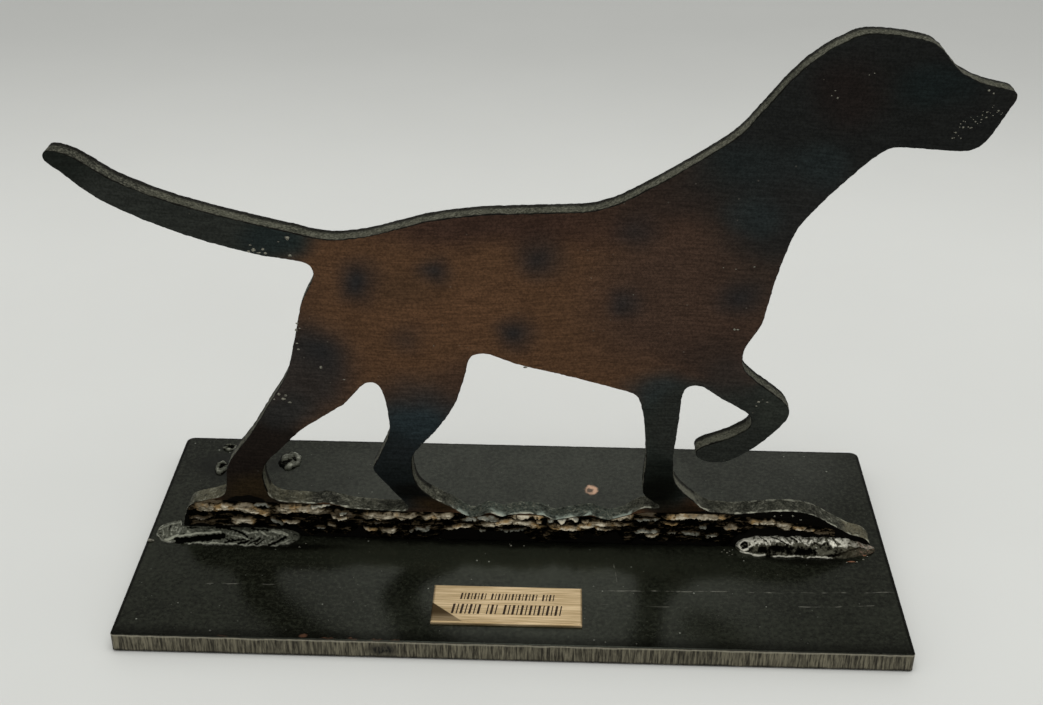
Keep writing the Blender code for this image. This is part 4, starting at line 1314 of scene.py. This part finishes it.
    def stand_out(self, x: float, z: float, near: Sequence[WeldRun]) -> tuple[float, float]:
        """How far the weld stands out from the strip at a place, and which tone it has.

        Args:
            x: Millimetres along the strip.
            z: Millimetres above the base's top.
            near: The runs that may reach the place.

        Returns:
            The height as a share of the full rise, and the tone's value.
        """
        here = Vector((x, 0.0, z))
        z += self.wander * lumps(here * 0.45, 3) + 0.12 * lumps(here * 1.7, 2)
        best = 0.20 + 0.36 * lumps(Vector((x * 0.30, 3.0, z * 1.7)), 3)
        tone = RunTone.UMBER.value
        for run in near:
            away, share = line_reach(x, z, run.line)
            along = Vector((x * 0.34, run.line[0][0], 7.0))
            half = run.half * (1.12 + 0.34 * lumps(along, 2))
            if away >= half:
                continue
            off = away / half
            ends = min(1.0, 0.30 + 4 * share, 0.30 + 4 * (1 - share))
            lump = 1 + 0.33 * lumps(Vector((x * 0.33, run.line[0][0], z * 1.9)), 4)
            height = 1.08 * run.rise * (1 - off * off) ** 0.7 * lump * ends
            if height > best:
                best = height
                tone = run.tone.value
        streak = lumps(Vector((x * 0.42, 1.0, z * 2.9)), 3)
        pit = max(0.0, lumps(here * 1.15 + Vector((9.0, 0, 0)), 2) - 0.3)
        return best + 0.22 * streak - 1.1 * pit + 0.07 * lumps(here * 2.6, 3), tone

    def build(self, finish: bpy.types.Material) -> bpy.types.Object:
        """Make the relief.

        Args:
            finish: Its material.

        Returns:
            The piece.
        """
        foot = self.foot_edge()
        x_low, x_high = self.crest[0][0], self.crest[-1][0]
        columns = round((x_high - x_low) * MM / self.column_pitch)

        def skin(u: float, v: float) -> SkinPoint:
            """Point of the relief's surface, or of its back where v is at either end."""
            x = x_low + (x_high - x_low) * u
            low = (reading(foot, x * MM) - BASE_TOP) / MM
            high = reading(self.crest, x)
            inner = clamped((v - 0.03) / 0.94)
            z = low + (high - low) * inner
            if v in (0.0, 1.0) or u in (0.0, 1.0):
                return SkinPoint(Vector((x * MM, FACE_Y + 0.0001, BASE_TOP + z * MM)))
            near = [run for run in self.runs if run.line[0][0] - 2 < x < run.line[-1][0] + 2]
            height, tone = self.stand_out(x, z, near)
            edge = min(1.0, 9 * inner + 0.2, 12 * (1 - inner) + 0.25)
            height = min(1.3, max(0.03, height))
            y = FACE_Y - self.rise * height * edge
            # The height also goes to the finish as the crest, which it paints as shade where low and as
            # highlight where high
            return SkinPoint(Vector((x * MM, y, BASE_TOP + z * MM)), height, tone)

        bm = mapped_grid(columns, self.rows, skin)
        close_mesh(bm)
        return finish_piece("strata_weld", bm, (finish,), ("ground_weld",), 80.0)


def reading(pairs: Sequence[tuple[float, float]], at: float) -> float:
    """Straight-line reading of sorted places and values, held level past the ends."""
    if at <= pairs[0][0]:
        return pairs[0][1]
    for (x0, v0), (x1, v1) in zip(pairs, pairs[1:]):
        if at <= x1:
            return v0 + (v1 - v0) * (at - x0) / max(1e-9, x1 - x0)
    return pairs[-1][1]


@dataclass(frozen=True)
class BeadMark:
    """A groove or ridge on a bead.

    Its line's points are millimetres along the strip and the share of the way from the bead's upper edge to
    its foot. The push is in millimetres, inward where it is negative, and the crest is the value that the
    finish reads there, which it paints as shade where it is low and as highlight where it is high.
    """

    line: tuple[tuple[float, float], ...]
    half: float
    push: float
    crest: float


@dataclass
class FilletBead:
    """A rippled fillet along the strip's front foot, laid from one end of the strip."""

    node: str
    name: str
    tone: WeldTone
    ripple_pitch: float
    ripple: float
    slant: float
    marks: tuple[BeadMark, ...]
    upper_band: float = 0.0
    shift: float = 0.0
    wave_shade: float = 0.16
    grit_shade: float = 0.46
    ragged: float = 0.13
    taper: float = 0.0
    bulge: float = 0.6
    station_pitch: float = 0.00016
    around: int = 44

    def surface_at(self, x: float, across: float, seed: float) -> tuple[float, float]:
        """Relief and shade of the bead's skin.

        Args:
            x: Millimetres along the strip.
            across: Share of the way from the bead's upper edge to its foot.
            seed: Moves the noise, so that no two beads match.

        Returns:
            The relief in millimetres, and the crest value from 0 to about 1.
        """
        skin = Vector((x, across * 6, seed))
        wander = 0.5 * lumps(skin * 0.3, 2)
        phase = x / self.ripple_pitch + self.slant * across + wander
        wave = abs(math.sin(math.pi * phase)) ** 0.7
        grit = lumps(skin * 1.3, 3)
        relief = self.ripple * (wave - 1) + 0.26 * grit
        # Ripple crests are painted lighter and troughs darker, and the upper band lighter still
        crest = 0.26 + self.wave_shade * wave + self.grit_shade * grit
        if self.upper_band > 0:
            edge = self.upper_band + 0.26 * lumps(skin * 0.55, 3)
            upper = ease(across, edge + 0.06, edge - 0.06)
            crest = crest * (0.5 + 0.5 * upper) + 0.40 * upper
            relief += 0.25 * upper
        for mark in self.marks:
            if mark.line[0][0] - 3 < x < mark.line[-1][0] + 3:
                away, _ = line_reach(x, across * 6, [(a, b * 6) for a, b in mark.line])
                hold = ease(away + 0.15 * grit, mark.half, mark.half * 0.35)
                relief += mark.push * hold
                crest += (mark.crest - crest) * hold
        return relief, crest

    def build(self, finish: bpy.types.Material) -> bpy.types.Object:
        """Make the bead.

        Args:
            finish: Its material.

        Returns:
            The piece.
        """
        low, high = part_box(self.node)
        leg = FACE_Y - low.y
        rise = high.z - BASE_TOP
        wrap = high.y - FACE_Y
        length = high.x - low.x
        outward = -1.0 if low.x < 0 else 1.0
        foot_ends = [v.co.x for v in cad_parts["dog_plate"].data.vertices if v.co.z < BASE_TOP + 0.004]
        strip_end = min(foot_ends) if outward < 0 else max(foot_ends)
        seed = 20.0 + 9.0 * outward

        def skin(u: float, v: float) -> SkinPoint:
            """Point of the bead: v goes from its buried back, over its skin, to its foot and back."""
            x = low.x + length * u + self.shift * MM
            swell = math.sqrt(max(0.0, 1 - abs(2 * u - 1) ** 5.5)) * 0.92 + 0.08
            uneven = Vector((x / MM * 0.33, seed, 0.0))
            toe = 1 - self.ragged * max(0.0, 0.5 + lumps(uneven, 3))
            top = 1 - self.ragged * max(0.0, 0.5 + lumps(uneven + Vector((0, 9, 0)), 3))
            slim = 1 - self.taper * ease(u if outward > 0 else 1 - u, 0.70, 1.0)
            past = max(0.0, outward * (x - strip_end))
            back = wrap * min(1.0, past / 0.0012) * swell * slim
            if v in (0.0, 1.0):
                return SkinPoint(Vector((x, FACE_Y + 0.0002 + back, BASE_TOP - 0.0001)))
            across = clamped((v - 0.02) / 0.96)
            angle = math.pi / 2 * across
            relief, crest = self.surface_at(x / MM, across, seed)
            flat = Vector((0, -leg * across, rise * (1 - across)))
            full = Vector((0, -leg * math.sin(angle), rise * math.cos(angle)))
            point = flat.lerp(full, self.bulge) * swell * slim
            point.y *= toe
            point.z *= top
            lift = Vector((0, -math.sin(angle), math.cos(angle)))
            point += lift * relief * MM * math.sin(math.pi * min(1.0, across * 0.9 + 0.05))
            y = FACE_Y + point.y + back * (1 - across)
            z = max(0.0, point.z) * (1.0 - 0.35 * min(1.0, past / 0.004))
            return SkinPoint(Vector((x, max(low.y, y), BASE_TOP + min(rise, z))), crest)

        bm = mapped_grid(round(length / self.station_pitch), self.around, skin)
        close_mesh(bm)
        return finish_piece(self.name, bm, (finish,), (self.node,), 80.0)


LEFT_BEAD_MARKS = (
    BeadMark(((-105, 0.88), (-101, 0.74), (-96, 0.62), (-90.7, 0.46)), 1.25, -1.0, -0.6),
    BeadMark(((-108.5, 0.86), (-104.8, 0.64), (-102, 0.46), (-97, 0.36), (-91.5, 0.29)), 0.5, 0.25, 1.05),
    BeadMark(((-112, 0.70), (-109.5, 0.96), (-105.4, 0.92)), 0.5, 0.1, 0.8),
    BeadMark(((-111.5, 0.25), (-108, 0.10), (-104.5, 0.12)), 0.4, 0.1, 0.75),
    BeadMark(((-110.2, 0.30), (-109.4, 0.62)), 0.3, 0.1, 0.8),
    BeadMark(((-108.2, 0.34), (-107.6, 0.60)), 0.4, -0.25, 0.1),
    BeadMark(
        ((-101, 0.95), (-96, 0.87), (-90, 0.88), (-86, 0.90), (-82, 0.96), (-74, 0.97)),
        0.35, 0.1, 0.85,
    ),
    BeadMark(((-89.8, 0.80), (-86, 0.70), (-83.5, 0.60)), 0.35, -0.4, -0.3),
    BeadMark(((-85.6, 0.90), (-83.4, 0.76), (-81.6, 0.58)), 0.45, -0.45, -0.4),
    BeadMark(((-82.4, 0.88), (-80.6, 0.74), (-79, 0.58)), 0.35, -0.4, -0.2),
    BeadMark(((-79.4, 0.84), (-77.6, 0.64)), 0.3, -0.35, -0.1),
    BeadMark(((-76.0, 0.94), (-74.2, 0.78), (-71.3, 0.50)), 0.55, -0.55, -0.4),
    BeadMark(((-73.5, 0.92), (-71.5, 0.80), (-69.6, 0.60)), 0.5, 0.3, 0.7),
    BeadMark(((-88, 0.42), (-84.5, 0.50), (-82, 0.62)), 0.35, 0.2, 0.75),
    BeadMark(((-84.6, 0.18), (-82.4, 0.30), (-80, 0.24)), 0.35, 0.2, 0.85),
    BeadMark(((-88.5, 0.10), (-85, 0.26), (-83, 0.44)), 0.4, -0.3, -0.2),
    BeadMark(((-82, 0.06), (-79, 0.14), (-77, 0.10)), 0.4, -0.3, -0.2),
    BeadMark(((-75.5, 0.14), (-73, 0.20), (-70.8, 0.34)), 0.7, 0.2, 1.05),
    BeadMark(((-79.5, 0.16), (-77.5, 0.38)), 0.45, 0.15, 0.85),
    BeadMark(((-93, 0.04), (-89, 0.06)), 0.5, -0.3, -0.2),
    BeadMark(((-102, 0.06), (-97, 0.12), (-94, 0.08)), 0.35, -0.2, 0.0),
)
RIGHT_BEAD_MARKS = (
    BeadMark(
        ((68.6, 0.50), (69.2, 0.24), (70.6, 0.14), (72.0, 0.30), (71.8, 0.64), (70, 0.78), (68.6, 0.50)),
        0.6, 0.3, 1.1,
    ),
    BeadMark(((69.6, 0.38), (70.4, 0.28), (71.0, 0.32)), 0.5, -0.9, -0.6),
    BeadMark(((69.9, 0.64), (70.6, 0.56), (71.1, 0.50)), 0.4, -0.9, -0.6),
    BeadMark(((71.8, 0.56), (73.6, 0.36), (75.2, 0.22)), 0.45, 0.2, 1.0),
    BeadMark(((72.8, 0.70), (74.8, 0.56), (76.4, 0.44)), 0.5, -0.2, 0.35),
    BeadMark(((75.4, 0.66), (79, 0.60), (83, 0.64), (87, 0.70), (90, 0.66)), 1.3, -0.3, -0.05),
    BeadMark(((86, 0.84), (88.6, 0.74), (90.4, 0.60)), 0.5, -0.4, -0.3),
    BeadMark(((69.4, 0.90), (73, 0.93), (76.5, 0.92)), 0.5, 0.15, 1.0),
    BeadMark(((79, 0.95), (84, 0.92), (88, 0.94)), 0.35, 0.15, 0.9),
    BeadMark(((89.5, 0.95), (93, 0.93), (97, 0.97)), 0.4, 0.15, 0.95),
    BeadMark(((96, 0.88), (99.5, 0.80), (103, 0.60), (106, 0.42)), 0.4, -0.45, -0.4),
    BeadMark(((92, 0.60), (95, 0.70), (99, 0.62)), 0.5, -0.15, 0.2),
    BeadMark(((91.6, 0.30), (94, 0.40), (95.8, 0.30)), 0.4, -0.2, 0.1),
    BeadMark(((99, 0.42), (102.5, 0.34), (105, 0.34)), 0.4, 0.1, 0.95),
    BeadMark(((78.5, 0.05), (80.6, 0.20), (83.6, 0.38)), 0.28, -0.2, -0.1),
    BeadMark(((84.5, 0.05), (86.5, 0.30)), 0.3, -0.2, 0.0),
    BeadMark(((75.0, 0.02), (77.0, 0.26)), 0.3, -0.2, 0.0),
    BeadMark(((97.5, 0.04), (98.4, 0.30)), 0.35, -0.2, 0.1),
)


@dataclass
class TackSpot:
    """A lump of weld metal on the base with a crater in it."""

    node: str
    name: str
    crater: float
    seed: float
    shade: float = 0.24
    around: int = 72
    rings: int = 22

    def build(self, finish: bpy.types.Material) -> bpy.types.Object:
        """Make the lump.

        Args:
            finish: Its material.

        Returns:
            The piece.
        """
        low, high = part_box(self.node)
        middle = (low + high) / 2
        half = (high - low) / 2
        rise = high.z - BASE_TOP

        def skin(u: float, v: float) -> SkinPoint:
            """Point of the lump: u goes round it, v from its rim to its middle."""
            angle = 2 * math.pi * (u % 1.0)
            way = Vector((math.cos(angle), math.sin(angle), 0))
            uneven = 0.82 + 0.18 * lumps(way * 1.5 + Vector((0, 0, self.seed)), 3)
            reach = (1 - v) * uneven
            place = Vector((middle.x + half.x * way.x * reach, middle.y + half.y * way.y * reach, BASE_TOP))
            spot = Vector((way.x * reach, way.y * reach, self.seed))
            grit = lumps(spot * 1.9, 4)
            dome = math.sqrt(max(0.0, 1 - (1 - v) ** 3))
            pit = self.crater * math.exp(-1.6 * (reach / 0.34) ** 2)
            level = clamped(dome * (0.72 + 0.34 * grit) - pit)
            # Painted light and shade: the rim is lighter on its front right, towards the lamp, a moat round
            # the back left is darker, and so is the crater
            rim = math.exp(-(((reach - 0.66) / 0.14) ** 2)) * max(0.0, 0.5 + way.x * 0.6 - way.y * 0.3)
            moat = math.exp(-(((reach - 0.82) / 0.09) ** 2)) * max(0.0, 0.45 - way.x * 0.6 + way.y * 0.4)
            place.z += rise * level if v > 0 else -0.0001
            return SkinPoint(place, self.shade + 0.40 * rim - 0.7 * moat - 0.6 * pit + 0.7 * grit)

        bm = mapped_grid(self.around, self.rings, skin)
        bmesh.ops.remove_doubles(bm, verts=bm.verts, dist=2e-6)
        close_mesh(bm)
        return finish_piece(self.name, bm, (finish,), (self.node,), 80.0)


@dataclass
class SteelBase:
    """The flat base plate, sheared along its sides."""

    front_radius: float = 0.0011
    back_radius: float = 0.0027
    step: float = 0.0007
    rim: float = 0.00045
    side_rows: int = 14
    drawn: float = 0.00012
    chips: float = 0.00022
    tear: float = 0.0006
    tear_half: float = 0.0035

    def perimeter(self) -> list[tuple[Vector, Vector]]:
        """Points round the rounded rectangle, each with its way outward."""
        half_x, half_y = BASE_HIGH.x, BASE_HIGH.y
        points = []
        corners = (
            (1, -1, -90, self.front_radius), (1, 1, 0, self.back_radius),
            (-1, 1, 90, self.back_radius), (-1, -1, 180, self.front_radius),
        )
        for i, (side_x, side_y, start, r) in enumerate(corners):
            centre = Vector((side_x * (half_x - r), side_y * (half_y - r), 0))
            for k in range(9):
                angle = math.radians(start + 90 * k / 8)
                way = Vector((math.cos(angle), math.sin(angle), 0))
                points.append((centre + way * r, way))
            length = 2 * (half_y if i % 2 == 0 else half_x) - r - corners[(i + 1) % 4][3]
            count = round(length / self.step)
            run = Vector((-way.y, way.x, 0))
            for k in range(1, count):
                points.append((centre + way * r + run * length * k / count, way))
        return points

    def build(self, top: bpy.types.Material, side: bpy.types.Material) -> bpy.types.Object:
        """Make the plate.

        Args:
            top: Finish of its top and underside.
            side: Finish of its cut sides.

        Returns:
            The piece.
        """
        ring = self.perimeter()
        count = len(ring)
        rows = self.side_rows + 4

        def skin(u: float, v: float) -> SkinPoint:
            """Point of the side: u goes round the plate, v from the underside to the top."""
            at, way = ring[round(u * count) % count]
            row = round(v * rows)
            chip = self.chips * max(0.0, fractal(at, 700.0, 3, 4.0))
            if row <= 1:
                inset, z = self.rim * (1 - row), self.rim * row
            elif row >= rows - 2:
                lift = (rows - row) / 2
                turn = math.pi / 2 * (1 - lift)
                inset = (self.rim + chip) * (1 - math.cos(turn))
                z = BASE_TOP - (self.rim + chip) * (1 - math.sin(turn))
            else:
                share = (row - 1) / (rows - 3)
                z = self.rim + (BASE_TOP - 2 * self.rim) * share
                drawn = fractal(Vector((at.x, at.y, z * 0.12)), 850.0, 3, 6.0)
                inset = self.drawn * max(0.0, 0.7 + drawn)
                if at.y < -0.05:
                    tear = math.exp(-(((at.x - TEAR_X) / self.tear_half) ** 2))
                    inset += self.tear * tear * max(0.0, fractal(Vector((at.x, 0, z)), 620.0, 2, 8.0))
            return SkinPoint(Vector((at.x - way.x * inset, at.y - way.y * inset, z)))

        bm = mapped_grid(count, rows, skin)
        for face in bm.faces:
            face.material_index = 1
        close_mesh(bm)
        for face in bm.faces:
            if abs(face.normal.z) > 0.9:
                face.material_index = 0
        return finish_piece("steel_base", bm, (top, side), ("base_plate",), 35.0, 0)


@dataclass
class Nameplate:
    """The thin brass plate, with its rows of strokes drawn taller than the CAD has them."""

    edge_round: float = 0.00012
    margin: float = 0.0015
    hair: float = 1e-5
    upper_stretch: float = 1.7
    lower_stretch: float = 1.6
    upper_lift: float = 0.0007

    def build(self, brass: bpy.types.Material, ink: bpy.types.Material) -> bpy.types.Object:
        """Make the plate from a copy of the CAD one.

        Args:
            brass: Finish of the plate.
            ink: Blackening of the strokes.

        Returns:
            The piece.
        """
        low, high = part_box("nameplate")
        bm = bmesh.new()
        bm.from_mesh(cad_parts["nameplate"].data)
        bmesh.ops.remove_doubles(bm, verts=bm.verts, dist=1e-6)
        top = high.z - self.hair
        for vert in bm.verts:
            if vert.co.z < low.z + self.hair:
                vert.co.z = BASE_TOP
        tops = []
        for face in bm.faces:
            centre = face.calc_center_median()
            inside = all(low[i] + self.margin < centre[i] < high[i] - self.margin for i in (0, 1))
            if inside and BASE_TOP + 0.0001 < centre.z < top:
                face.material_index = 1
            elif face.normal.z > 0.99 and centre.z > top:
                tops.append(face)
        bmesh.ops.delete(bm, geom=tops, context="FACES")
        strokes = {vert for face in bm.faces if face.material_index == 1 for vert in face.verts}
        levels = sorted(vert.co.y for vert in strokes)
        split = max(zip(levels, levels[1:]), key=lambda pair: pair[1] - pair[0])
        rows = ((True, self.upper_stretch, self.upper_lift), (False, self.lower_stretch, 0.0))
        for is_upper, stretch, lift in rows:
            row = [vert for vert in strokes if (vert.co.y > sum(split) / 2) is is_upper]
            middle = (min(v.co.y for v in row) + max(v.co.y for v in row)) / 2
            for vert in row:
                vert.co.y = middle + lift + (vert.co.y - middle) * stretch
        open_edges = [edge for edge in bm.edges if edge.is_boundary]
        bmesh.ops.triangle_fill(bm, use_beauty=True, use_dissolve=False, edges=open_edges)
        bmesh.ops.recalc_face_normals(bm, faces=bm.faces)
        bmesh.ops.dissolve_limit(
            bm, angle_limit=math.radians(1), verts=bm.verts, edges=bm.edges, delimit={"MATERIAL"}
        )
        rims = [
            edge for edge in bm.edges
            if all(v.co.z > top for v in edge.verts)
            and any(abs(f.normal.z) < 0.95 and f.material_index == 0 for f in edge.link_faces)
        ]
        bmesh.ops.bevel(
            bm, geom=rims, offset=self.edge_round, offset_type="OFFSET", segments=2, profile=0.5,
            affect="EDGES", material=-1,
        )
        bmesh.ops.triangulate(bm, faces=bm.faces)
        return finish_piece("brass_nameplate", bm, (brass, ink), ("nameplate",), 30.0, 0)


@dataclass
class SpatterFlecks:
    """Pale grains stuck to the hound's face, and the bead of slag under its belly."""

    thickness: float = 0.35
    # Millimetres right of the middle, behind it and above the base, and the size
    crumbs: tuple[tuple[float, float, float, float], ...] = (
        (65.2, -6.4, 0.1, 0.30), (66.0, -5.6, 0.1, 0.26), (64.4, -5.0, 0.1, 0.22), (66.6, -7.2, 0.1, 0.24),
        (65.6, -7.6, 0.1, 0.2), (63.6, -6.0, 0.1, 0.18), (101.2, -9.8, 0.1, 0.26), (104.4, -9.4, 0.1, 0.3),
        (106.6, -8.2, 0.1, 0.34), (108.0, -6.6, 0.1, 0.26), (-113.0, -7.4, 0.0, 1.0),
        (-66.5, -8.8, 0.1, 0.3), (-64.8, -6.9, 0.1, 0.22), (-1.4, -5.6, 0.1, 0.3), (-1.8, -5.0, 0.3, 0.22),
        (2.6, -5.4, 0.1, 0.24), (84.5, -3.2, 12.2, 0.36), (87.0, -3.2, 10.9, 0.42),
        (79.0, -3.2, 12.0, 0.28), (81.0, -3.2, 12.4, 0.22),
    )
    grains: tuple[tuple[float, float, float], ...] = (
        (-75, 98.6, 0.45), (-73.6, 99.2, 0.6), (-72.2, 98.3, 0.55), (-71, 99.4, 0.4), (-70.4, 98.2, 0.5),
        (-74.4, 100.6, 0.35), (-64, 103, 0.55), (-66.5, 101.8, 0.3), (-63.5, 97.6, 0.6), (-63, 76, 0.4),
        (-62.4, 74.4, 0.35), (-63.4, 73.8, 0.45), (-63.5, 69.4, 0.35), (-63.2, 67.4, 0.4), (-57, 61.5, 0.5),
        (-50.5, 57.5, 0.35), (-70, 52, 0.5), (-68.8, 50.4, 0.65), (-67, 49.2, 0.55), (-68, 51.6, 0.4),
        (-71.5, 50.2, 0.35), (121.5, 149.4, 0.35), (122.8, 148.6, 0.25), (91.5, 153.5, 0.2),
        (90.2, 153, 0.18), (65.5, 97, 0.3), (60.5, 96.2, 0.18), (57, 96.6, 0.16), (62.5, 77, 0.45),
        (61.6, 77, 0.4), (70.5, 53, 0.4), (73, 53, 0.35), (70, 51.6, 0.25), (82, 148.6, 0.22),
        (81.2, 147.2, 0.2), (82.8, 146.6, 0.26),
        (20.5, 92.5, 0.2), (32.5, 87.5, 0.16), (-24, 69.5, 0.2), (2.3, 63.0, 0.55),
    )
    muzzle_low: tuple[float, float] = (113.5, 137.5)
    muzzle_high: tuple[float, float] = (125.5, 144.5)
    muzzle_count: int = 34

    def muzzle_grains(self) -> list[tuple[float, float, float]]:
        """A slanting scatter of small grains on the muzzle, the same each run."""
        grains = []
        for i in range(self.muzzle_count):
            share = i / (self.muzzle_count - 1)
            x = self.muzzle_low[0] + (self.muzzle_high[0] - self.muzzle_low[0]) * share
            z = self.muzzle_low[1] + (self.muzzle_high[1] - self.muzzle_low[1]) * share
            drift = noise.noise(Vector((i * 7.31 + 0.4, 1.5, 0.3)))
            size = 0.13 + 0.22 * abs(noise.noise(Vector((i * 3.17, 0.4, 4.2))))
            grains.append((x + drift * 1.4, z - drift * 3.6, size))
        return grains

    def build(self, finish: bpy.types.Material) -> bpy.types.Object:
        """Make all grains as one piece.

        Args:
            finish: Its material.

        Returns:
            The piece.
        """
        bm = bmesh.new()
        on_hound = (*self.grains, *self.muzzle_grains())
        places = [(on_face(x, z) + Vector((0, FACE_Y, 0)), size) for x, z, size in on_hound]
        places += [(on_face(x, z) + Vector((0, y * MM, 0)), size) for x, y, z, size in self.crumbs]
        for i, (centre, size) in enumerate(places):
            made = bmesh.ops.create_icosphere(bm, subdivisions=2, radius=size * MM)["verts"]
            for vert in made:
                lump = 1 + 0.5 * noise.noise(vert.co / (size * MM) * 1.4 + Vector((i * 5.1, 0, 0)))
                vert.co.x *= lump
                vert.co.z *= lump * (0.7 + 0.3 * math.sin(i * 2.4))
                vert.co.y *= self.thickness
                vert.co += centre
        bmesh.ops.recalc_face_normals(bm, faces=bm.faces)
        return finish_piece("spatter_flecks", bm, (finish,), (), 80.0)


@dataclass
class Studio:
    """Pale table, soft light and the camera."""

    camera_place: tuple[float, float, float] = (0.010534, -0.374962, 0.291489)
    pitch_down: float = 30.283
    yaw_right: float = -1.433
    roll: float = 0.519
    focal_length: float = 51.69
    table_grey: float = 0.583
    # far_share and fade set the painted shade far behind: how much of the grey is left, and where in Y it
    # sets in
    far_share: float = 0.713
    fade: tuple[float, float] = (0.19, 0.55)
    world_level: float = 0.72

    def camera(self) -> None:
        """Place the camera at the photograph's viewing angle."""
        pitch, yaw, roll = (math.radians(v) for v in (self.pitch_down, self.yaw_right, self.roll))
        ahead = Vector((math.sin(yaw) * math.cos(pitch), math.cos(yaw) * math.cos(pitch), -math.sin(pitch)))
        level = Vector((math.cos(yaw), -math.sin(yaw), 0))
        upright = level.cross(ahead)
        right = level * math.cos(roll) + upright * math.sin(roll)
        up = upright * math.cos(roll) - level * math.sin(roll)
        data = bpy.data.cameras.new("camera")
        data.lens = self.focal_length
        data.sensor_width = 36.0
        data.clip_start = 0.01
        made = bpy.data.objects.new("camera", data)
        turn = Matrix((right, up, -ahead)).transposed().to_4x4()
        made.matrix_world = Matrix.Translation(self.camera_place) @ turn
        bpy.context.scene.collection.objects.link(made)
        bpy.context.scene.camera = made

    def table(self) -> None:
        """Lay the pale table."""
        bm = bmesh.new()
        bmesh.ops.create_grid(bm, x_segments=2, y_segments=2, size=3.0)
        mesh = bpy.data.meshes.new("table")
        bm.to_mesh(mesh)
        bm.free()
        mesh.materials.append(self.table_finish())
        floor = bpy.data.objects.new("table", mesh)
        bpy.context.scene.collection.objects.link(floor)

    def table_finish(self) -> bpy.types.Material:
        """Pale satin board, with painted shade that makes it a little darker far behind."""
        surface = Surface("table", metallic=0.0, roughness=0.6, specular=0.3)
        graph = surface.graph
        near = tuple(self.table_grey * share for share in (1.0, 1.012, 0.975))
        far = tuple(value * self.far_share for value in near)
        # Painted shade: the board darkens towards the back as the light falls off
        fade = graph.spread(surface.axis("Y"), *self.fade)
        cloud = surface.noise(9.0)
        color = graph.mix(fade, near, far)
        surface.close(surface.scaled(color, graph.spread(cloud, 0.2, 0.8, 0.985, 1.015)), 0.6)
        return surface.material

    def panel(self, name: str, place: Vector, aim: Vector, size: float, power: float) -> None:
        """Hang one soft light.

        Args:
            name: Its name.
            place: Where it hangs.
            aim: What it points at.
            size: Its side in metres.
            power: Its power in watts.
        """
        data = bpy.data.lights.new(name, "AREA")
        data.shape = "SQUARE"
        data.size = size
        data.energy = power
        made = bpy.data.objects.new(name, data)
        turn = (aim - place).to_track_quat("-Z", "Y").to_matrix().to_4x4()
        made.matrix_world = Matrix.Translation(place) @ turn
        bpy.context.scene.collection.objects.link(made)

    def light(self) -> None:
        """Even room light and one soft panel overhead."""
        scene = bpy.context.scene
        world = bpy.data.worlds.new("room")
        world.use_nodes = True
        background = world.node_tree.nodes["Background"]
        background.inputs["Color"].default_value = (1.0, 1.0, 0.98, 1.0)
        background.inputs["Strength"].default_value = self.world_level
        scene.world = world
        self.panel("overhead", Vector((0.08, -0.10, 1.3)), Vector((0, 0, 0.05)), 0.9, 9.0)
        scene.view_settings.view_transform = "Standard"

    def build(self) -> None:
        """Set up everything round the sculpture."""
        self.camera()
        self.table()
        self.light()


def main() -> None:
    """Build every piece, dress it, and note the sizes."""
    logging.basicConfig(level=logging.INFO, format="%(name)s %(message)s")
    Studio().build()
    HoundPlate().build(HeatPatina().build(), TorchCutEdge().build())
    SteelBase().build(MillScale().build(), ShearedEdge().build())
    StrataFace().build(StrataWeld().build())
    welds = {tone: FilletWeld(tone).build() for tone in (WeldTone.SOOTED, WeldTone.BRIGHT)}
    for bead in (
        FilletBead("weld_left", "fillet_left", WeldTone.SOOTED, 3.6, 0.18, -0.9, LEFT_BEAD_MARKS),
        FilletBead(
            "weld_right", "fillet_right", WeldTone.BRIGHT, 2.9, 0.18, -0.7, RIGHT_BEAD_MARKS,
            upper_band=0.40, shift=-0.9, taper=0.42,
        ),
    ):
        bead.build(welds[bead.tone])
    for spot in (
        TackSpot("weld_spot_ring", "tack_ring", 1.0, 3.0),
        TackSpot("weld_spot_slot", "tack_slot", 0.9, 8.0),
        TackSpot("weld_spot_disc", "tack_disc", 0.05, 12.0, 0.12),
    ):
        spot.build(welds[WeldTone.SOOTED])
    brass = SatinBrass()
    Nameplate().build(brass.build(), brass.build_ink())
    SpatterFlecks().build(FleckMetal().build())


if __name__ == "__main__":
    main()
